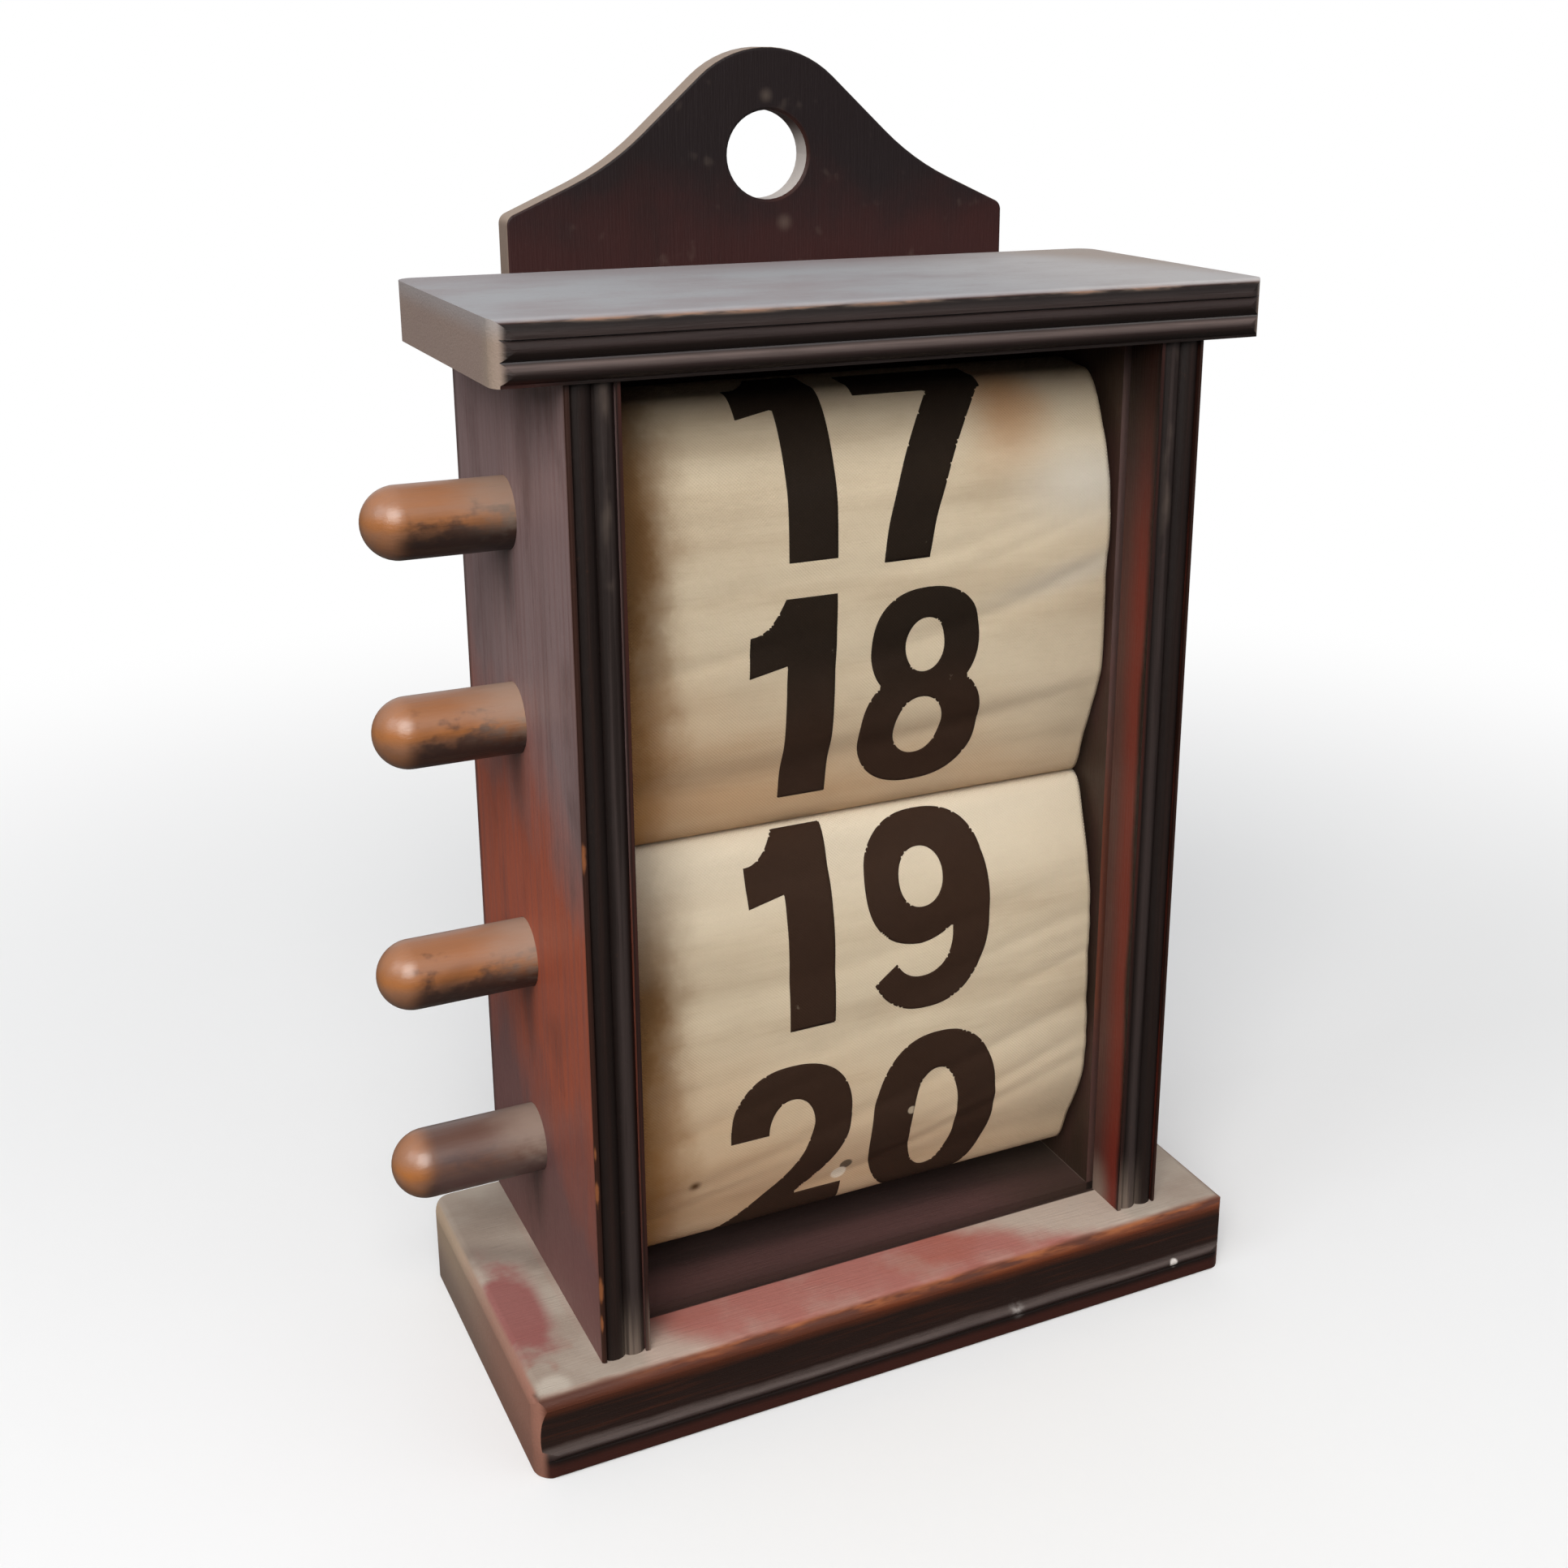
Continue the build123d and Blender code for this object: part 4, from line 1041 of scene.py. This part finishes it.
def figure_seven(u, v, height):
    """A bar, and a leg whose middle line bends as a parabola and whose width grows."""
    bar = box_area(u, v, -0.6, 24.8, height - 8.8, height)
    middle = 6.55 + 0.08 * v + 0.0109 * v**2
    leg = np.maximum(np.abs(u - middle) - 4.55 - 0.022 * v, box_area(u, v, 0, 24.8, 0, height))
    return np.minimum(bar, leg)


def figure_eight(u, v, height):
    """Two ovals, the lower one wider, each with an oval hole."""
    upper = oval(u, v, 10.9, height - 10.6, 11, 10.6)
    lower = oval(u, v, 10.9, 11.9, 12.4, 11.9)
    upper_hole = oval(u, v, 10.8, height - 10.9, 3.95, 5.2, 2.1)
    lower_hole = oval(u, v, 10.5, 12.1, 4.9, 6.1, 2.1)
    return np.maximum.reduce([np.minimum(upper, lower), -upper_hole, -lower_hole])


def figure_nine(u, v, height):
    """A bowl within a tall oval, less its hole and the opening between bowl and tail."""
    bowl = oval(u, v, 12.3, height - 13.1, 12.6, 13.1)
    whole = oval(u, v, 12.3, height / 2 - 0.3, 13.6, height / 2 + 0.3)
    hole = oval(u, v, 11.4, height - 13, 4.65, 5.8, 2.1)
    inner = oval(u, v, 11.3, 15.1, 6.6, 8.8, 2.2)
    under = np.maximum(bowl, oval(u, v, 9.8, height - 13.1, 12.6, 13.1, 2.1))
    cut = np.maximum(6.4 + (u - 1.2) * 0.74 - v, u - 6.5)
    opening = np.maximum(-under, np.minimum(inner, cut))
    return np.maximum.reduce([np.minimum(bowl, whole), -hole, -opening])


def figure_two(u, v, height):
    """A top arc with a level end, a leg between two parabolas and a foot bar that ends at
    the leg's outer side."""
    outer = oval(u, v, -15.8, height - 12.6, 12.5, 12.6)
    inner = oval(u, v, -15.8, height - 13.7, 4.75, 6.6, 2.1)
    arc = np.maximum.reduce([outer, -inner, 25.4 - v])
    left = -33 + 1.602 * v - 0.02916 * v**2
    right = -25.1 + 1.708 * v - 0.03331 * v**2
    leg = np.maximum.reduce([(left - u) * 0.75, (u - right) * 0.75, -v, v - 25.8])
    foot = np.maximum(box_area(u, v, -29, -3.4, 0, 7.5), (left - u) * 0.75)
    return np.minimum.reduce([arc, leg, foot])


def figure_nought(u, v, height):
    """A tall oval with an oval hole."""
    return np.maximum(
        oval(u, v, 15.05, height / 2, 13.7, height / 2 + 0.2),
        -oval(u, v, 15.2, height / 2 - 0.8, 5.1, 12.5, 2.2),
    )


# Printed numbers: the band, the height of each figure's foot above the band's lower end,
# and the two figures.
NUMBERS = {
    "printed_17": ("upper_number_band", (104, 102.1), (figure_one, figure_seven)),
    "printed_18": ("upper_number_band", (58.4, 57.5), (figure_one, figure_eight)),
    "printed_19": ("lower_number_band", (96.4, 95.6), (figure_one, figure_nine)),
    "printed_20": ("lower_number_band", (50, 49.9), (figure_two, figure_nought)),
}


def printed_number(name):
    """Ink of one number: a grid over its flat box. Points close to the outline are moved on
    to it along its slope, unless they end far off, and the quads whose four corners are
    inside or on it are kept."""
    sizes = bpy.context.scene.calendar_numbers
    band, feet, figures = NUMBERS[name]
    height = sizes.height / MM
    spacing = sizes.spacing / MM

    def area(u, v):
        pairs = zip(feet, figures)
        return np.minimum.reduce([figure(u, v - foot, height) for foot, figure in pairs])

    grid = np.meshgrid(
        np.arange(-30.5, 30.5, spacing), np.arange(min(feet) - 1, max(feet) + height + 1, spacing)
    )
    u, v = grid
    for _ in range(4):
        inside = area(u, v)
        slope_u = (area(u + 0.01, v) - area(u - 0.01, v)) / 0.02
        slope_v = (area(u, v + 0.01) - area(u, v - 0.01)) / 0.02
        size = np.maximum(slope_u**2 + slope_v**2, 0.05)
        close = np.abs(inside) / np.sqrt(size) < 0.62 * spacing
        u = np.where(close, u - inside * slope_u / size, u)
        v = np.where(close, v - inside * slope_v / size, v)
    landed = (np.abs(area(u, v)) < 0.02) & (np.hypot(u - grid[0], v - grid[1]) < 0.75 * spacing)
    u, v = np.where(landed, u, grid[0]), np.where(landed, v, grid[1])
    kept = area(u, v) < 0.03
    quads = quads_of(*u.shape)
    quads = quads[kept.ravel()[quads].all(1)]
    used, numbers = np.unique(quads, return_inverse=True)
    quads = numbers.reshape(-1, 4)
    flat = np.stack([u.ravel()[used], v.ravel()[used]], -1)
    half = bpy.context.scene.calendar_linen.thickness / MM / 2
    points = linen_point(band, flat[:, 0], flat[:, 1], half + CLEARANCE)
    return surface(name, points, flat, quads), band


class CALENDAR_OT_wooden_case(bpy.types.Operator):
    """Finish the base, cap, side panels and back board as aged mahogany"""

    bl_idname = "calendar.wooden_case"
    bl_label = "Wooden case"

    def execute(self, context):
        dress("base_board", base_board_finish())
        dress("cap_board", cap_board_finish())
        for node in ("left_side_panel", "right_side_panel"):
            dress(node, side_panel_finish(node))
        dress("back_board", back_board_finish())
        return {"FINISHED"}


class CALENDAR_OT_rollers(bpy.types.Operator):
    """Finish the four dowels with their knobs, pins and tacks"""

    bl_idname = "calendar.rollers"
    bl_label = "Rollers"

    def execute(self, context):
        steel = steel_finish()
        for roller, darkness in zip(ROLLERS, (0, 0.1, 0.06, 0.85)):
            dress(roller + "_dowel", dowel_finish(roller + "_dowel", darkness))
            dress(roller + "_pin", steel)
            dress(roller + "_tacks", steel)
        return {"FINISHED"}


class CALENDAR_OT_glass(bpy.types.Operator):
    """Finish the glass pane"""

    bl_idname = "calendar.glass"
    bl_label = "Glass"

    def execute(self, context):
        dress("glass_pane", glass_finish())
        return {"FINISHED"}


class CALENDAR_OT_number_bands(bpy.types.Operator):
    """Lay the two visible bands of creased linen between their rollers"""

    bl_idname = "calendar.number_bands"
    bl_label = "Number bands"

    def execute(self, context):
        sizes = context.scene.calendar_linen
        stains = {"upper": upper_stains, "lower": lower_stains}
        for band, (top, bottom) in BANDS.items():
            item = number_band(band)
            half = band.split("_")[0]
            finish = linen_finish(half + "_linen", stains[half])
            lay(item, finish, sizes.thickness, "case")
            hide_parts(band)
        return {"FINISHED"}


class CALENDAR_OT_printed_numbers(bpy.types.Operator):
    """Print the numbers 17 to 20 on the linen"""

    bl_idname = "calendar.printed_numbers"
    bl_label = "Printed numbers"

    def execute(self, context):
        inks = {band: ink_finish(band, height) for band, height in zip(BANDS, (80, 160))}
        for name in NUMBERS:
            item, band = printed_number(name)
            lay(item, inks[band], context.scene.calendar_numbers.ink, "case")
        return {"FINISHED"}


class CALENDAR_OT_stored_turns(bpy.types.Operator):
    """Wind the stored linen on the four dowels"""

    bl_idname = "calendar.stored_turns"
    bl_label = "Stored turns"

    def execute(self, context):
        finish = linen_finish("wound_linen", roughness=0.88)
        for roller in ROLLERS:
            item, run, width = wound_linen(roller)
            lay(item, finish, context.scene.calendar_linen.stored_thickness, roller)
            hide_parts(roller + "_winding")
        return {"FINISHED"}


class CALENDAR_OT_fixings(bpy.types.Operator):
    """Finish the pegs, screws and brads of the case"""

    bl_idname = "calendar.fixings"
    bl_label = "Fixings"

    def execute(self, context):
        steel = steel_finish()
        dress("cap_pegs", peg_finish())
        dress("base_screws", steel)
        dress("back_brads", steel)
        return {"FINISHED"}


# The camera: its place in millimetres, its shift in widths of the sensor, and its turns in
# degrees: the bearing, the tip up from looking straight down, and the roll.
CAMERA_PLACE = (-148.53, -311.22, 239.25)
CAMERA_SHIFT = (-0.0542, -0.0802)
CAMERA_TURNS = ((-26.67, "Z"), (90 - 17.41, "X"), (0.42, "Z"))

# The floor's height, and where the lamps look, in metres.
FLOOR_Z = -0.0001
LAMP_TARGET = (0, 0, 0.1)


def lamp(name, place, size, power, warmth=(1, 1, 1)):
    """A square area light that looks at the lamps' target."""
    data = bpy.data.lights.new(name, "AREA")
    data.shape = "SQUARE"
    data.size = size
    data.energy = power
    data.color = warmth
    item = bpy.data.objects.new(name, data)
    item.location = place
    item.rotation_euler = (Vector(LAMP_TARGET) - Vector(place)).to_track_quat("-Z", "Y").to_euler()
    bpy.context.scene.collection.objects.link(item)


def floor_finish():
    """Pale floor that turns to plain white light far from the object, so that it has no
    horizon."""
    f = Finish("pale_floor", roughness=0.9, specular_ior_level=0.1)
    spot = f.place()
    gap = f.vector("LENGTH", spot, output="Value")
    mottle = f.noise(spot, (0.02, 0.02, 0.02), 2)
    f.set("Base Color", f.mix("floor", (0.93, 0.93, 0.93), mottle * 0.1))
    glow = f.node("Emission", None, {"Color": (1, 1, 1), "Strength": 1})
    near = Wire(f, f.shader.outputs["BSDF"])
    seen = f.node("MixShader", None, [0.06 + 0.94 * gap.rise(180, 520), near, glow])
    dim = f.node("BsdfDiffuse", None, {"Color": (0.14, 0.13, 0.12)})
    f.finish(f.node("MixShader", None, [f.node("LightPath"), dim, seen]))
    return f.material


def soft_world(strength):
    """Even light that grows from low down to high up, before a white backdrop."""
    world = bpy.data.worlds.new("soft_world")
    w = Nodes(world, "OutputWorld")
    height = w.parts(w.node("TexCoord", output="Generated"))[2]
    sockets = {"Value": height, "From Min": -0.1, "From Max": 0.7}
    ends = {"To Min": 0.25 * strength, "To Max": 1.2 * strength}
    light = w.node("MapRange", None, {**sockets, **ends})
    around = w.node("Background", None, {"Color": (0.95, 0.97, 1), "Strength": light})
    backdrop = w.node("Background", None, {"Color": (1, 1, 1)})
    w.finish(w.node("MixShader", None, [w.node("LightPath"), around, backdrop]))
    return world


class CALENDAR_OT_stage(bpy.types.Operator):
    """Set the pale floor, the soft light and the camera"""

    bl_idname = "calendar.stage"
    bl_label = "Stage"

    def execute(self, context):
        scene = context.scene
        settings = scene.calendar_stage
        x, y = np.meshgrid(np.linspace(-6, 6, 13), np.linspace(-6, 6, 13))
        points = np.stack([x, y, np.full_like(x, FLOOR_Z)], -1)
        floor = surface("floor", points, points[..., :2])
        floor.data.materials.append(floor_finish())

        scene.world = soft_world(settings.world)
        lamp("key_light", (-0.6, -1.05, 0.98), 1, settings.key, (1, 0.985, 0.96))
        lamp("side_light", (-1.25, -0.25, 1), 0.8, settings.side, (0.95, 0.97, 1))
        lamp("fill_light", (0.9, -0.9, 0.6), 0.9, settings.fill)
        lamp("rear_light", (0.25, 1.2, 0.3), 1.1, settings.rear)

        data = bpy.data.cameras.new("camera")
        data.sensor_width = 36
        data.lens = settings.lens
        data.shift_x, data.shift_y = CAMERA_SHIFT
        data.clip_start = 0.01
        camera = bpy.data.objects.new("camera", data)
        camera.matrix_world = Matrix.Translation(Vector(CAMERA_PLACE) * MM)
        for turn, axis in CAMERA_TURNS:
            camera.matrix_world @= Matrix.Rotation(math.radians(turn), 4, axis)
        scene.collection.objects.link(camera)
        scene.camera = camera
        scene.view_settings.view_transform = "Standard"
        return {"FINISHED"}


GROUPS = {
    "calendar_linen": CalendarLinen,
    "calendar_numbers": CalendarNumbers,
    "calendar_colours": CalendarColours,
    "calendar_stage": CalendarStage,
}
OPERATORS = (
    CALENDAR_OT_wooden_case,
    CALENDAR_OT_rollers,
    CALENDAR_OT_glass,
    CALENDAR_OT_number_bands,
    CALENDAR_OT_printed_numbers,
    CALENDAR_OT_stored_turns,
    CALENDAR_OT_fixings,
    CALENDAR_OT_stage,
)
BANDS = {
    "upper_number_band": ("upper_top_roller", "upper_bottom_roller"),
    "lower_number_band": ("lower_top_roller", "lower_bottom_roller"),
}
FOLDS = {band: Fold(top, bottom) for band, (top, bottom) in BANDS.items()}


class CALENDAR_PT_sidebar(bpy.types.Panel):
    """Steps of the calendar, with their sizes and colours"""

    bl_idname = "CALENDAR_PT_sidebar"
    bl_label = "Desk calendar"
    bl_space_type = "VIEW_3D"
    bl_region_type = "UI"
    bl_category = "Calendar"

    def draw(self, context):
        for operator in OPERATORS:
            self.layout.operator(operator.bl_idname)
        for name, group in GROUPS.items():
            box = self.layout.box()
            box.label(text=group.__doc__)
            for field in group.__annotations__:
                box.prop(getattr(context.scene, name), field)


def register():
    for item in (*GROUPS.values(), *OPERATORS, CALENDAR_PT_sidebar):
        bpy.utils.register_class(item)
    for name, group in GROUPS.items():
        setattr(bpy.types.Scene, name, bpy.props.PointerProperty(type=group))


def unregister():
    for name in GROUPS:
        delattr(bpy.types.Scene, name)
    for item in (CALENDAR_PT_sidebar, *reversed(OPERATORS), *GROUPS.values()):
        bpy.utils.unregister_class(item)


def main():
    """Registers the classes and makes the pieces."""
    register()
    for operator in OPERATORS:
        group, step = operator.bl_idname.split(".")
        getattr(getattr(bpy.ops, group), step)()


if __name__ == "__main__":
    main()
